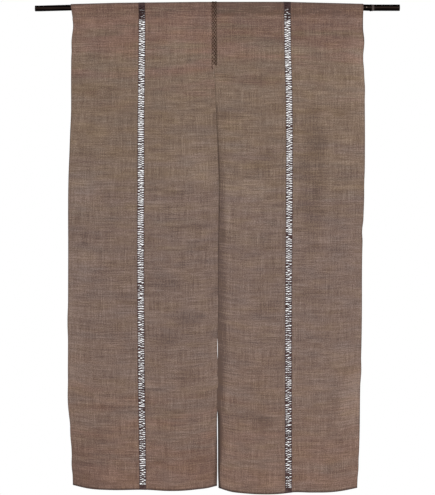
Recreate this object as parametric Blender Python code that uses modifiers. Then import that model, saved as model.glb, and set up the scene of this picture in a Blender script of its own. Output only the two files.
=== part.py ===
"""Noren curtain: two hand-woven hemp panels that hang side by side on a lacquered bamboo rod.

Sizes are in metres. The origin is the middle of the rod's axis, +X runs along the rod, +Y points
to the back of the curtain and +Z is up. A drop is a distance straight down from the origin.
"""

import math
from collections import namedtuple

import bmesh
import bpy
import numpy as np
from mathutils import Vector

# Rod
ROD_LENGTH = 1.112
ROD_RADIUS_LEFT = 0.0090
ROD_RADIUS_RIGHT = 0.0097
ROD_END_ROUND = 0.0015
ROD_END_STRAIGHT = 0.012
ROD_END_HEIGHT_LEFT = -0.0091
ROD_END_HEIGHT_RIGHT = -0.0068
RING_HALF_WIDTH = 0.0040
RING_CREST_HALF_WIDTH = 0.0014
HIDDEN_RING = 0.0005
ROD_BEVEL_RESOLUTION = 6

CulmNode = namedtuple("CulmNode", "x height ring")
CULM_NODES = (
    CulmNode(x=-0.312, height=-0.0027, ring=HIDDEN_RING),
    CulmNode(x=-0.052, height=0.0000, ring=HIDDEN_RING),
    CulmNode(x=0.208, height=0.0000, ring=HIDDEN_RING),
    CulmNode(x=0.468, height=-0.0068, ring=0.0016),
)

# Cloth
CLOTH_THICKNESS = 0.0010
CLOTH_WIDTH = 0.455
FULL_DROP = 1.488
LAYER_SPACING = 0.0015
TOUCH_GAP = 0.0004
POCKET_DEPTH = 0.035
FRONT_LENGTH = FULL_DROP - POCKET_DEPTH
SEAM_ALLOWANCE = 0.010
STITCH_RADIUS = 0.0011
STITCH_INSET = 0.003
HEM_DEPTH = 0.015

# Openwork strip: the warp is left out and the weft alone crosses it.
SLOT_WIDTH = 0.016
SLOT_HEIGHT = 0.0056
SLOT_UNEVEN = 0.0013
SLOT_UNEVEN_TURN = 2.4
SLOT_PITCH = 0.012
SLOT_FIRST = 0.008

# Soft vertical waves of the hanging cloth
WAVE_DEPTH = 0.0030
WAVE_LENGTH = 0.230
WAVE_DRIFT = 0.18
WAVE_FROM = 0.15
WAVE_FULL = 0.75
HEADING_FLAT_TO = 0.12

# Lacing
LACE_CENTRE = -0.0091
LACE_HALF_WIDTH = 0.0080
LACE_PITCH = 0.0117
LACE_DROP = 0.183
LACE_THREAD_RADIUS = 0.0010
LACE_STRANDS = 4
STEPS_ACROSS = 4
LACE_OVER = 0.0006
LACE_LIFT = CLOTH_THICKNESS / 2.0 + TOUCH_GAP + LACE_THREAD_RADIUS

# Grid of each panel
COLUMNS_EACH_SIDE = 6
FRONT_ROWS = 26
ARC_ROWS = 8
FOLD_ROWS = 4
STRAIGHT_SHARE = 0.25
NORMAL_STEP = 0.002

Panel = namedtuple("Panel", "name strip curl_left curl_right wave_phase levels hem")
Level = namedtuple("Level", "drop left strip right back_left back_right lean")
HemPoint = namedtuple("HemPoint", "x drop")

# Each level gives the places of the cloth's edges and strip, and how far back each edge curls.
LEFT_LEVELS = (
    Level(0.000, -0.4467, -0.2299, -0.0094, 0.000, 0.000, 0.000),
    Level(0.050, -0.4403, -0.2299, -0.0094, 0.000, 0.000, 0.000),
    Level(0.160, -0.4458, -0.2305, -0.0094, 0.001, 0.000, 0.000),
    Level(0.210, -0.4464, -0.2312, -0.0092, 0.002, 0.000, 0.000),
    Level(0.330, -0.4466, -0.2328, -0.0043, 0.003, -0.002, 0.000),
    Level(0.535, -0.4550, -0.2333, 0.0036, 0.006, -0.004, 0.000),
    Level(0.780, -0.4562, -0.2342, 0.0018, 0.009, -0.004, 0.002),
    Level(0.980, -0.4570, -0.2332, 0.0016, 0.010, -0.003, 0.003),
    Level(1.045, -0.4570, -0.2328, 0.0004, 0.010, -0.002, 0.003),
    Level(1.180, -0.4562, -0.2316, 0.0018, 0.008, 0.000, 0.002),
    Level(1.260, -0.4518, -0.2302, -0.0018, 0.008, 0.003, 0.002),
    Level(1.370, -0.4466, -0.2287, -0.0024, 0.014, 0.006, 0.004),
    Level(FULL_DROP, -0.4432, -0.2279, -0.0034, 0.024, 0.012, 0.007),
)
RIGHT_LEVELS = (
    Level(0.000, -0.0088, 0.2128, 0.4446, 0.000, 0.000, 0.000),
    Level(0.050, -0.0088, 0.2135, 0.4441, 0.000, 0.001, 0.000),
    Level(0.160, -0.0088, 0.2150, 0.4463, 0.000, 0.006, 0.000),
    Level(0.210, -0.0086, 0.2168, 0.4485, 0.001, 0.008, 0.000),
    Level(0.330, -0.0078, 0.2190, 0.4505, 0.009, 0.010, 0.000),
    Level(0.535, -0.0055, 0.2192, 0.4498, 0.015, 0.010, 0.001),
    Level(0.780, -0.0040, 0.2178, 0.4420, 0.017, 0.007, 0.003),
    Level(0.980, -0.0018, 0.2166, 0.4414, 0.018, 0.012, 0.003),
    Level(1.045, 0.0016, 0.2165, 0.4404, 0.018, 0.015, 0.002),
    Level(1.180, -0.0008, 0.2165, 0.4368, 0.018, 0.018, 0.002),
    Level(1.260, 0.0014, 0.2165, 0.4358, 0.014, 0.018, 0.001),
    Level(1.370, 0.0020, 0.2165, 0.4328, 0.009, 0.012, -0.003),
    Level(FULL_DROP, 0.0034, 0.2165, 0.4258, 0.006, 0.006, -0.009),
)
LEFT_HEM = (
    HemPoint(-0.441, 1.4656),
    HemPoint(-0.394, 1.4730),
    HemPoint(-0.320, 1.4774),
    HemPoint(-0.211, 1.4774),
    HemPoint(-0.156, 1.4800),
    HemPoint(-0.100, 1.4790),
    HemPoint(-0.065, 1.4760),
    HemPoint(-0.029, 1.4717),
    HemPoint(-0.003, 1.4653),
)
RIGHT_HEM = (
    HemPoint(0.003, 1.4690),
    HemPoint(0.044, 1.4810),
    HemPoint(0.081, 1.4857),
    HemPoint(0.136, 1.4885),
    HemPoint(0.200, 1.4855),
    HemPoint(0.228, 1.4820),
    HemPoint(0.290, 1.4833),
    HemPoint(0.337, 1.4825),
    HemPoint(0.374, 1.4785),
    HemPoint(0.410, 1.4720),
    HemPoint(0.426, 1.4690),
)
PANELS = (
    Panel("panel_left", 0.213, 0.070, 0.030, 0.10, LEFT_LEVELS, LEFT_HEM),
    Panel("panel_right", 0.226, 0.024, 0.085, 0.55, RIGHT_LEVELS, RIGHT_HEM),
)


def clear_scene():
    for obj in list(bpy.data.objects):
        bpy.data.objects.remove(obj)


def new_collection(name):
    made = bpy.data.collections.new(name)
    bpy.context.scene.collection.children.link(made)
    return made


def new_material(name, colour, roughness):
    made = bpy.data.materials.new(name)
    made.use_nodes = True
    shader = made.node_tree.nodes["Principled BSDF"]
    shader.inputs["Base Color"].default_value = (*colour, 1.0)
    shader.inputs["Roughness"].default_value = roughness
    shader.inputs["Metallic"].default_value = 0.0
    return made


def new_object(name, data, collection, material=None):
    made = bpy.data.objects.new(name, data)
    collection.objects.link(made)
    if material:
        data.materials.append(material)
    return made


def smooth_step(low, high, at):
    t = min(max((at - low) / (high - low), 0.0), 1.0)
    return t * t * (3.0 - 2.0 * t)


def smooth_value(stations, values, at):
    """The value at a station, on a cubic through the given ones that takes its slopes from them."""
    at = min(max(at, stations[0]), stations[-1])
    i = min(int(np.searchsorted(stations, at, side="right")) - 1, len(stations) - 2)
    span = stations[i + 1] - stations[i]
    t = (at - stations[i]) / span
    slopes = np.gradient(values, stations)
    start = (1.0 + 2.0 * t) * (1.0 - t) ** 2 * values[i] + t * (1.0 - t) ** 2 * span * slopes[i]
    end = t**2 * (3.0 - 2.0 * t) * values[i + 1] + t**2 * (t - 1.0) * span * slopes[i + 1]
    return float(start + end)


# Rod


def rod_radius(x):
    share = x / ROD_LENGTH + 0.5
    return ROD_RADIUS_LEFT + share * (ROD_RADIUS_RIGHT - ROD_RADIUS_LEFT)


def rod_height(x):
    """The height of the rod's axis: the culm is straight between its nodes and bends at each."""
    straight_to = ROD_LENGTH / 2.0 - ROD_END_STRAIGHT
    stations = [-straight_to, *(node.x for node in CULM_NODES), straight_to]
    heights = [ROD_END_HEIGHT_LEFT, *(node.height for node in CULM_NODES), ROD_END_HEIGHT_RIGHT]
    return float(np.interp(x, stations, heights))


def rod_stations():
    """Places along the rod with its radius at each, from the left end to the right."""
    end = ROD_LENGTH / 2.0
    stations = [(-end, rod_radius(-end) - ROD_END_ROUND)]
    stations.append((-end + ROD_END_ROUND, rod_radius(-end)))
    stations.append((-end + ROD_END_STRAIGHT, rod_radius(-end)))
    for node in CULM_NODES:
        crest = rod_radius(node.x) + node.ring
        stations.append((node.x - RING_HALF_WIDTH, rod_radius(node.x)))
        stations.append((node.x - RING_CREST_HALF_WIDTH, crest))
        stations.append((node.x + RING_CREST_HALF_WIDTH, crest))
        stations.append((node.x + RING_HALF_WIDTH, rod_radius(node.x)))
    stations.append((end - ROD_END_STRAIGHT, rod_radius(end)))
    stations.append((end - ROD_END_ROUND, rod_radius(end)))
    stations.append((end, rod_radius(end) - ROD_END_ROUND))
    return stations


def build_rod(collection):
    stations = rod_stations()
    curve = bpy.data.curves.new("rod", "CURVE")
    curve.dimensions = "3D"
    curve.bevel_depth = 1.0
    curve.bevel_resolution = ROD_BEVEL_RESOLUTION
    curve.use_fill_caps = True
    spline = curve.splines.new("POLY")
    spline.points.add(len(stations) - 1)
    for point, (x, radius) in zip(spline.points, stations):
        point.co = (x, 0.0, rod_height(x), 1.0)
        point.radius = radius
    lacquer = new_material("black_brown_lacquer", (0.012, 0.008, 0.006), 0.35)
    return new_object("rod", curve, collection, lacquer)


# Cloth


def pocket_section(x):
    """The radius of the cloth round the rod, the stitch line's (y, z) below the rod's axis, and the
    turn from straight down at which the cloth leaves the rod for the stitch line."""
    radius = rod_radius(x) + HIDDEN_RING + TOUCH_GAP + CLOTH_THICKNESS / 2.0
    stitch = Vector((-LAYER_SPACING / 2.0, -POCKET_DEPTH))
    leaning = math.atan2(-stitch.x, -stitch.y)
    return radius, stitch, math.acos(radius / stitch.length) + leaning


def pocket_point(x, share, outward=0.0):
    """(y, z) on the rod pocket, which leaves the stitch line, goes up the front, over the rod and
    down the back. The share is 0 at the front's stitch line, 0.5 on top and 1 at the back's."""
    radius, stitch, tangent_turn = pocket_section(x)
    front_share = min(share, 1.0 - share)
    if front_share < STRAIGHT_SHARE:
        tangent = Vector((-math.sin(tangent_turn), -math.cos(tangent_turn)))
        place = stitch.lerp(tangent * radius, front_share / STRAIGHT_SHARE) + tangent * outward
    else:
        over = (front_share - STRAIGHT_SHARE) / (0.5 - STRAIGHT_SHARE)
        turn = tangent_turn + (math.pi - tangent_turn) * over
        place = Vector((-math.sin(turn), -math.cos(turn))) * (radius + outward)
    y = place.x if share <= 0.5 else -place.x
    return y, rod_height(x) + place.y


def level_value(panel, column, drop):
    stations = [level.drop for level in panel.levels]
    values = [getattr(level, column) for level in panel.levels]
    return smooth_value(stations, values, drop)


def hem_drop(panel, x):
    return smooth_value([point.x for point in panel.hem], [point.drop for point in panel.hem], x)


def place_across(panel, across, drop):
    """The X of a point of the flat cloth, from its distance across and its drop."""
    strip = level_value(panel, "strip", drop)
    left = level_value(panel, "left", drop)
    right = level_value(panel, "right", drop)
    flat = [0.0, panel.strip - SLOT_WIDTH / 2.0, panel.strip + SLOT_WIDTH / 2.0, CLOTH_WIDTH]
    hung = [left, strip - SLOT_WIDTH / 2.0, strip + SLOT_WIDTH / 2.0, right]
    return float(np.interp(across, flat, hung))


def depth_back(panel, across, drop):
    """How far the front layer lies behind its flat place: curled edges, a lean and soft waves."""
    from_left = max(1.0 - across / panel.curl_left, 0.0)
    from_right = max(1.0 - (CLOTH_WIDTH - across) / panel.curl_right, 0.0)
    depth = level_value(panel, "back_left", drop) * from_left**2
    depth += level_value(panel, "back_right", drop) * from_right**2
    depth += level_value(panel, "lean", drop)
    turn = across / WAVE_LENGTH + panel.wave_phase + WAVE_DRIFT * drop
    depth += smooth_step(WAVE_FROM, WAVE_FULL, drop) * WAVE_DEPTH * math.sin(2.0 * math.pi * turn)
    return depth * smooth_step(POCKET_DEPTH, HEADING_FLAT_TO, drop)


def front_point(panel, across, share):
    """A point of the front layer: share 0 is at the stitch line and 1 at the bottom edge."""
    x = place_across(panel, across, POCKET_DEPTH + share * FRONT_LENGTH)
    top = POCKET_DEPTH - rod_height(x)
    drop = top + share * (hem_drop(panel, x) - top)
    return Vector((x, depth_back(panel, across, drop) - LAYER_SPACING / 2.0, -drop))


def behind(panel, across, share, distance):
    """A point that lies behind the front layer by a distance, square to the cloth."""
    aside = front_point(panel, min(across + NORMAL_STEP, CLOTH_WIDTH), share)
    aside -= front_point(panel, max(across - NORMAL_STEP, 0.0), share)
    up = front_point(panel, across, share - NORMAL_STEP) - front_point(panel, across, share)
    return front_point(panel, across, share) + up.cross(aside).normalized() * distance


def hang(panel, across, along):
    """Where a point of the flat cloth hangs. Along -2 to -1 is the seam allowance behind, -1 to 0
    the rod pocket, 0 to 1 the front layer, 1 to 2 the turn at the hem and 2 to 3 the hem behind."""
    if along <= -1.0:
        share = (-1.0 - along) * SEAM_ALLOWANCE / FRONT_LENGTH
        return behind(panel, across, share, LAYER_SPACING)
    if along < 0.0:
        top_x = place_across(panel, across, 0.0)
        _, height = pocket_point(top_x, -along)
        x = place_across(panel, across, -height)
        return Vector((x, *pocket_point(x, -along)))
    if along <= 1.0:
        return front_point(panel, across, along)
    turn = min(along - 1.0, 1.0) * math.pi
    share = 1.0 - max(along - 2.0, 0.0) * HEM_DEPTH / FRONT_LENGTH
    place = behind(panel, across, share, LAYER_SPACING / 2.0 * (1.0 - math.cos(turn)))
    return place - Vector((0.0, 0.0, LAYER_SPACING / 2.0 * math.sin(turn)))


def along_rows():
    """The rows of the cloth's grid, from the seam allowance behind to the top of the hem."""
    arc_share = 1.0 - 2.0 * STRAIGHT_SHARE
    rows = [-2.0, -1.0]
    rows += [STRAIGHT_SHARE - 1.0 + arc_share * i / ARC_ROWS for i in range(ARC_ROWS + 1)]
    rows += [i / FRONT_ROWS for i in range(FRONT_ROWS + 1)]
    rows += [1.0 + i / FOLD_ROWS for i in range(1, FOLD_ROWS + 1)]
    rows.append(3.0)
    return rows


def across_columns(panel):
    """The columns of the grid, closer together towards the edges, where the cloth curls."""
    strip_left = panel.strip - SLOT_WIDTH / 2.0
    strip_right = panel.strip + SLOT_WIDTH / 2.0
    quarter = math.pi / 2.0 / COLUMNS_EACH_SIDE
    shares = [1.0 - math.cos(quarter * i) for i in range(COLUMNS_EACH_SIDE + 1)]
    left_side = [strip_left * share for share in shares]
    right_side = [CLOTH_WIDTH - (CLOTH_WIDTH - strip_right) * share for share in shares]
    return left_side + right_side[::-1]


def slot_ends():
    """Where each openwork gap starts and ends, as shares of the front layer."""
    last = FRONT_LENGTH - HEM_DEPTH - SLOT_HEIGHT
    ends = []
    for i in range(int((last - SLOT_FIRST) / SLOT_PITCH)):
        middle = SLOT_FIRST + (i + 0.5) * SLOT_PITCH
        half = (SLOT_HEIGHT + SLOT_UNEVEN * math.sin(SLOT_UNEVEN_TURN * i)) / 2.0
        ends.append(((middle - half) / FRONT_LENGTH, (middle + half) / FRONT_LENGTH))
    return ends


def cut_across(cloth, faces, place):
    """Cuts those of the faces that a line across the flat cloth passes, and returns all of them."""
    crossed = []
    for face in faces:
        heights = [vert.co.y for vert in face.verts]
        if min(heights) < place < max(heights):
            crossed.append(face)
    edges = {edge for face in crossed for edge in face.edges}
    verts = {vert for face in crossed for vert in face.verts}
    geometry = [*crossed, *edges, *verts]
    line = {"plane_co": (0.0, place, 0.0), "plane_no": (0.0, 1.0, 0.0)}
    made = bmesh.ops.bisect_plane(cloth, geom=geometry, dist=1e-7, **line)
    fresh = {item for item in made["geom"] if isinstance(item, bmesh.types.BMFace)}
    return list(fresh | set(faces))


def cut_slots(panel, cloth):
    """Cuts the openwork gaps in the flat grid, where X is across and Y is along."""
    strip = []
    for face in cloth.faces:
        middle = face.calc_center_median()
        if abs(middle.x - panel.strip) < SLOT_WIDTH / 2.0 and 0.0 < middle.y < 1.0:
            strip.append(face)
    ends = slot_ends()
    for start, end in ends:
        strip = cut_across(cloth, strip, start)
        strip = cut_across(cloth, strip, end)
    starts = [start for start, _ in ends]
    gaps = []
    for face in strip:
        middle = face.calc_center_median().y
        slot = int(np.searchsorted(starts, middle)) - 1
        if slot >= 0 and middle < ends[slot][1]:
            gaps.append(face)
    bmesh.ops.delete(cloth, geom=gaps, context="FACES")


def tube_mesh(name, points, radius):
    """A closed four-sided tube through the points, as a mesh."""
    curve = bpy.data.curves.new(name, "CURVE")
    curve.dimensions = "3D"
    curve.bevel_depth = radius
    curve.bevel_resolution = 0
    curve.use_fill_caps = True
    spline = curve.splines.new("POLY")
    spline.points.add(len(points) - 1)
    for point, place in zip(spline.points, points):
        point.co = (*place, 1.0)
    guide = new_object(name + "_guide", curve, bpy.context.scene.collection)
    bpy.context.view_layer.update()
    graph = bpy.context.evaluated_depsgraph_get()
    mesh = bpy.data.meshes.new_from_object(guide.evaluated_get(graph))
    bpy.data.objects.remove(guide)
    welded = bmesh.new()
    welded.from_mesh(mesh)
    bmesh.ops.remove_doubles(welded, verts=welded.verts, dist=1e-6)
    welded.to_mesh(mesh)
    welded.free()
    return mesh


def add_union(obj, name, mesh, cutters):
    """Joins a closed mesh to the object with a Boolean."""
    joined = new_object(name, mesh, cutters)
    joined.hide_render = True
    joined.display_type = "WIRE"
    union = obj.modifiers.new(name, "BOOLEAN")
    union.operation = "UNION"
    union.solver = "EXACT"
    union.object = joined


def stitching_mesh(panel):
    """The line of stitching that closes the rod pocket, as a fine bar through both layers."""
    columns = across_columns(panel)
    columns[0] = STITCH_INSET
    columns[-1] = CLOTH_WIDTH - STITCH_INSET
    places = []
    for across in columns:
        x = place_across(panel, across, POCKET_DEPTH)
        places.append(Vector((x, 0.0, rod_height(x) - POCKET_DEPTH - STITCH_RADIUS)))
    return tube_mesh(panel.name + "_stitching", places, STITCH_RADIUS)


def build_panel(panel, collection, cutters, material):
    rows = along_rows()
    columns = across_columns(panel)
    cloth = bmesh.new()
    bmesh.ops.create_grid(cloth, x_segments=len(columns) - 1, y_segments=len(rows) - 1, size=0.5)
    for vert in cloth.verts:
        column = round((vert.co.x + 0.5) * (len(columns) - 1))
        row = round((vert.co.y + 0.5) * (len(rows) - 1))
        vert.co = (columns[column], rows[row], 0.0)
    cut_slots(panel, cloth)
    for vert in cloth.verts:
        vert.co = hang(panel, vert.co.x, vert.co.y)
    mesh = bpy.data.meshes.new(panel.name)
    cloth.to_mesh(mesh)
    cloth.free()
    made = new_object(panel.name, mesh, collection, material)
    thickness = made.modifiers.new("thickness", "SOLIDIFY")
    thickness.thickness = CLOTH_THICKNESS
    thickness.offset = 0.0
    thickness.use_even_offset = True
    add_union(made, panel.name + "_stitching", stitching_mesh(panel), cutters)
    return made


# Lacing


def lace_lengths(x):
    """The lengths of the lacing's straight way beside the rod pocket and of its arc over the rod."""
    radius, stitch, tangent_turn = pocket_section(x)
    straight = math.sqrt(stitch.length_squared - radius**2)
    arc = 2.0 * (math.pi - tangent_turn) * (radius + LACE_LIFT)
    return straight, arc


def lace_point(run, aside, over):
    """A point of the lacing, from its way up from the lower end and its place across."""
    x = LACE_CENTRE + aside
    outward = LACE_LIFT + over
    run -= LACE_DROP - POCKET_DEPTH
    if run < 0.0:
        return Vector((x, -LAYER_SPACING / 2.0 - outward, run - POCKET_DEPTH))
    straight, arc = lace_lengths(x)
    if run < straight:
        share = STRAIGHT_SHARE * run / straight
    elif run < straight + arc:
        share = STRAIGHT_SHARE + (1.0 - 2.0 * STRAIGHT_SHARE) * (run - straight) / arc
    else:
        share = min(1.0 - STRAIGHT_SHARE * (2.0 - (run - arc) / straight), 1.0)
    return Vector((x, *pocket_point(x, share, outward)))


def strand_mesh(strand, steps):
    """One of the threads that zigzag up the lacing, each started a pitch after the last."""
    places = []
    for step in range(steps + 1):
        turn = (step + 2 * strand) % (2 * STEPS_ACROSS)
        rightward = turn < STEPS_ACROSS
        crossed = turn if rightward else 2 * STEPS_ACROSS - turn
        aside = (crossed / STEPS_ACROSS * 2.0 - 1.0) * LACE_HALF_WIDTH
        over = LACE_OVER if rightward else 0.0
        if crossed in (0, STEPS_ACROSS):
            over = LACE_OVER / 2.0
        places.append(lace_point(step * LACE_PITCH / 2.0, aside, over))
    return tube_mesh(f"strand_{strand}", places, LACE_THREAD_RADIUS)


def build_lacing(collection, cutters, material):
    straight, arc = lace_lengths(LACE_CENTRE)
    length = LACE_DROP - POCKET_DEPTH + 2.0 * straight + arc
    steps = int(length / (LACE_PITCH / 2.0))
    lacing = new_object("lacing", strand_mesh(0, steps), collection, material)
    for strand in range(1, LACE_STRANDS):
        add_union(lacing, f"strand_{strand}", strand_mesh(strand, steps), cutters)
    return lacing


def main():
    clear_scene()
    curtain = new_collection("noren_curtain")
    cutters = new_collection("cutters")
    build_rod(curtain)
    cloth = new_material("hemp_cloth", (0.209, 0.144, 0.112), 0.9)
    for panel in PANELS:
        build_panel(panel, curtain, cutters, cloth)
    build_lacing(curtain, cutters, new_material("dark_thread", (0.080, 0.048, 0.034), 0.85))


main()
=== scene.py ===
"""Noren curtain: two hand-woven hemp panels on a black lacquered bamboo rod.

Sizes are in metres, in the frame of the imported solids: +X runs along the rod, +Y points to the
back of the curtain and +Z is up. A drop is a distance straight down from the rod's axis.
"""

import math
from collections import namedtuple

import bmesh
import bpy
import numpy as np
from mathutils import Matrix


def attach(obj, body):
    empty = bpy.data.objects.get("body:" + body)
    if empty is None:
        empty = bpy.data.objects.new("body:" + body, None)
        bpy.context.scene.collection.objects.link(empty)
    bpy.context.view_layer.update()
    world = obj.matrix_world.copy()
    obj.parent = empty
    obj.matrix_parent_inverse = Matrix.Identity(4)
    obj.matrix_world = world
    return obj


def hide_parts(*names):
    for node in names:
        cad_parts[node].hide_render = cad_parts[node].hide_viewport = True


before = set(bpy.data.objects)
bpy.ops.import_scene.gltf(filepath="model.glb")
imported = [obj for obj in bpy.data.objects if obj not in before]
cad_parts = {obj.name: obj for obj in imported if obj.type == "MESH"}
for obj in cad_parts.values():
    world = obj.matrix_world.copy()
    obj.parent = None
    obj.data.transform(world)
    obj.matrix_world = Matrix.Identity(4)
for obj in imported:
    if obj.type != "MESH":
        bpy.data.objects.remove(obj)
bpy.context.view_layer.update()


# Rod: a bamboo culm about as thick as a thumb, lacquered black-brown and cut to length. It tapers,
# is ringed where each leaf sheath grew, bends slightly there, and reaches out past the cloth.

ROD_LENGTH = 1.112
ROD_RADIUS_LEFT = 0.0090
ROD_RADIUS_RIGHT = 0.0097
ROD_END_HEIGHT_LEFT = -0.0091
ROD_END_HEIGHT_RIGHT = -0.0068
ROD_END_STRAIGHT = 0.012
ROD_END_ROUND = 0.0012
ROD_WALL = 0.0042
ROD_BORE_DEPTH = 0.030
ROD_BORE_DOME = 0.003
ROD_BORE_SHARES = (0.12, 0.45, 0.75, 0.95)
ROD_BORE_CORNER = 0.001
ROD_BORE_BEVEL_DEPTH = 0.0006
ROD_BORE_BEVEL = 0.0005
ROD_END_TURNS = (0.0, 0.35, 0.7, 1.0)
ROD_SIDES = 48
ROD_STEP = 0.012
ROD_UNEVEN = 0.00012
ROD_UNEVEN_TWIST = 9
SHARP_EDGE = math.radians(50)
RING_HIDDEN = 0.0005
RING_SWELL_SHARE = 0.35

CulmNode = namedtuple("CulmNode", "x height ring")
CULM_NODES = (
    CulmNode(x=-0.312, height=-0.0027, ring=RING_HIDDEN),
    CulmNode(x=-0.052, height=0.0000, ring=RING_HIDDEN),
    CulmNode(x=0.208, height=0.0000, ring=RING_HIDDEN),
    CulmNode(x=0.468, height=-0.0068, ring=0.0016),
)
# The sheath's scar is a sharp ridge. A groove parts it from the softer swelling of the node.
RingPoint = namedtuple("RingPoint", "along rise")
RING_PROFILE = (
    RingPoint(-0.0060, 0.00),
    RingPoint(-0.0040, 0.14),
    RingPoint(-0.0022, 0.50),
    RingPoint(-0.0012, 0.96),
    RingPoint(-0.0004, 1.00),
    RingPoint(0.0003, 0.42),
    RingPoint(0.0011, 0.30),
    RingPoint(0.0022, 0.58),
    RingPoint(0.0036, 0.50),
    RingPoint(0.0052, 0.16),
    RingPoint(0.0070, 0.00),
)


def rod_radius(x):
    return ROD_RADIUS_LEFT + (x / ROD_LENGTH + 0.5) * (ROD_RADIUS_RIGHT - ROD_RADIUS_LEFT)


def rod_height(x):
    straight_to = ROD_LENGTH / 2 - ROD_END_STRAIGHT
    stations = [-straight_to, *(node.x for node in CULM_NODES), straight_to]
    heights = [ROD_END_HEIGHT_LEFT, *(node.height for node in CULM_NODES), ROD_END_HEIGHT_RIGHT]
    return np.interp(x, stations, heights)


def rod_stations():
    """Places along the rod, each with its radius and how unevenly its ring stands out there."""
    end = ROD_LENGTH / 2
    ring_places = [node.x + point.along for node in CULM_NODES for point in RING_PROFILE]
    plain = np.arange(-end + ROD_END_STRAIGHT, end - ROD_END_STRAIGHT, ROD_STEP)
    clear = [x for x in plain if min(abs(x - place) for place in ring_places) > ROD_STEP / 2]
    stations = []
    for turn in ROD_END_TURNS:
        inset = ROD_END_ROUND * (1 - math.sin(turn * math.pi / 2))
        along = ROD_END_ROUND * (1 - math.cos(turn * math.pi / 2))
        stations.append((-end + along, rod_radius(-end) - inset, 0.0))
        stations.append((end - along, rod_radius(end) - inset, 0.0))
    stations += [(x, rod_radius(x), 0.0) for x in clear]
    for node in CULM_NODES:
        for point in RING_PROFILE:
            x = node.x + point.along
            stations.append((x, rod_radius(x) + node.ring * point.rise, point.rise * node.ring))
    return sorted(stations)


def ring_of_points(x, radius, swell=0.0):
    """A ring across the rod. A real culm is never quite round, and its ring is thicker below."""
    turns = np.arange(ROD_SIDES) / ROD_SIDES * 2 * np.pi
    uneven = 1 + ROD_UNEVEN / ROD_RADIUS_LEFT * np.sin(2 * turns + ROD_UNEVEN_TWIST * x)
    radii = radius * uneven - RING_SWELL_SHARE * swell * (1 + np.sin(turns))
    heights = rod_height(x) + radii * np.sin(turns)
    return np.stack([np.full(ROD_SIDES, x), radii * np.cos(turns), heights], axis=1)


def lofted_mesh(name, rings):
    """A closed surface through rings of equally many points, from the first ring to the last."""
    sides = len(rings[0])
    shell = bmesh.new()
    rows = [[shell.verts.new(point) for point in ring] for ring in rings]
    for before, after in zip(rows, rows[1:]):
        for i in range(sides):
            j = (i + 1) % sides
            shell.faces.new((before[i], before[j], after[j], after[i]))
    for row in (rows[0], rows[-1]):
        hub = shell.verts.new(sum((np.array(vert.co) for vert in row), np.zeros(3)) / sides)
        for i in range(sides):
            shell.faces.new((row[i], row[(i + 1) % sides], hub))
    bmesh.ops.recalc_face_normals(shell, faces=shell.faces)
    mesh = bpy.data.meshes.new(name)
    shell.to_mesh(mesh)
    shell.free()
    mesh.shade_smooth()
    mesh.set_sharp_from_angle(angle=SHARP_EDGE)
    return mesh


def bore_rings(end):
    """The hollow at one cut end, from its bottom at the next node out to the cut face."""
    sign = math.copysign(1.0, end)
    radius = rod_radius(end) - ROD_WALL
    rings = []
    for share in ROD_BORE_SHARES:
        depth = ROD_BORE_DEPTH + ROD_BORE_DOME * (1 - share**2)
        rings.append(ring_of_points(end - sign * depth, radius * share))
    rings.append(ring_of_points(end - sign * (ROD_BORE_DEPTH - ROD_BORE_CORNER), radius))
    rings.append(ring_of_points(end - sign * ROD_BORE_BEVEL_DEPTH, radius))
    rings.append(ring_of_points(end, radius + ROD_BORE_BEVEL))
    return rings


def new_piece(name, mesh, material=None):
    piece = bpy.data.objects.new(name, mesh)
    bpy.context.scene.collection.objects.link(piece)
    if material:
        mesh.materials.append(material)
    return piece


class Signal:
    """An output of a node that can stand in a sum, so that node maths reads as arithmetic."""

    def __init__(self, nodes, socket):
        self.nodes = nodes
        self.socket = socket

    def output(self, name):
        return Signal(self.nodes, self.socket.node.outputs[name])

    def __add__(self, other):
        return self.nodes.math("ADD", self, other)

    def __sub__(self, other):
        return self.nodes.math("SUBTRACT", self, other)

    def __rsub__(self, other):
        return self.nodes.math("SUBTRACT", other, self)

    def __mul__(self, other):
        return self.nodes.math("MULTIPLY", self, other)

    def __truediv__(self, other):
        return self.nodes.math("DIVIDE", self, other)

    def __pow__(self, other):
        return self.nodes.math("POWER", self, other)

    def __neg__(self):
        return 0 - self

    def __abs__(self):
        return self.nodes.math("ABSOLUTE", self)

    __radd__ = __add__
    __rmul__ = __mul__


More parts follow.
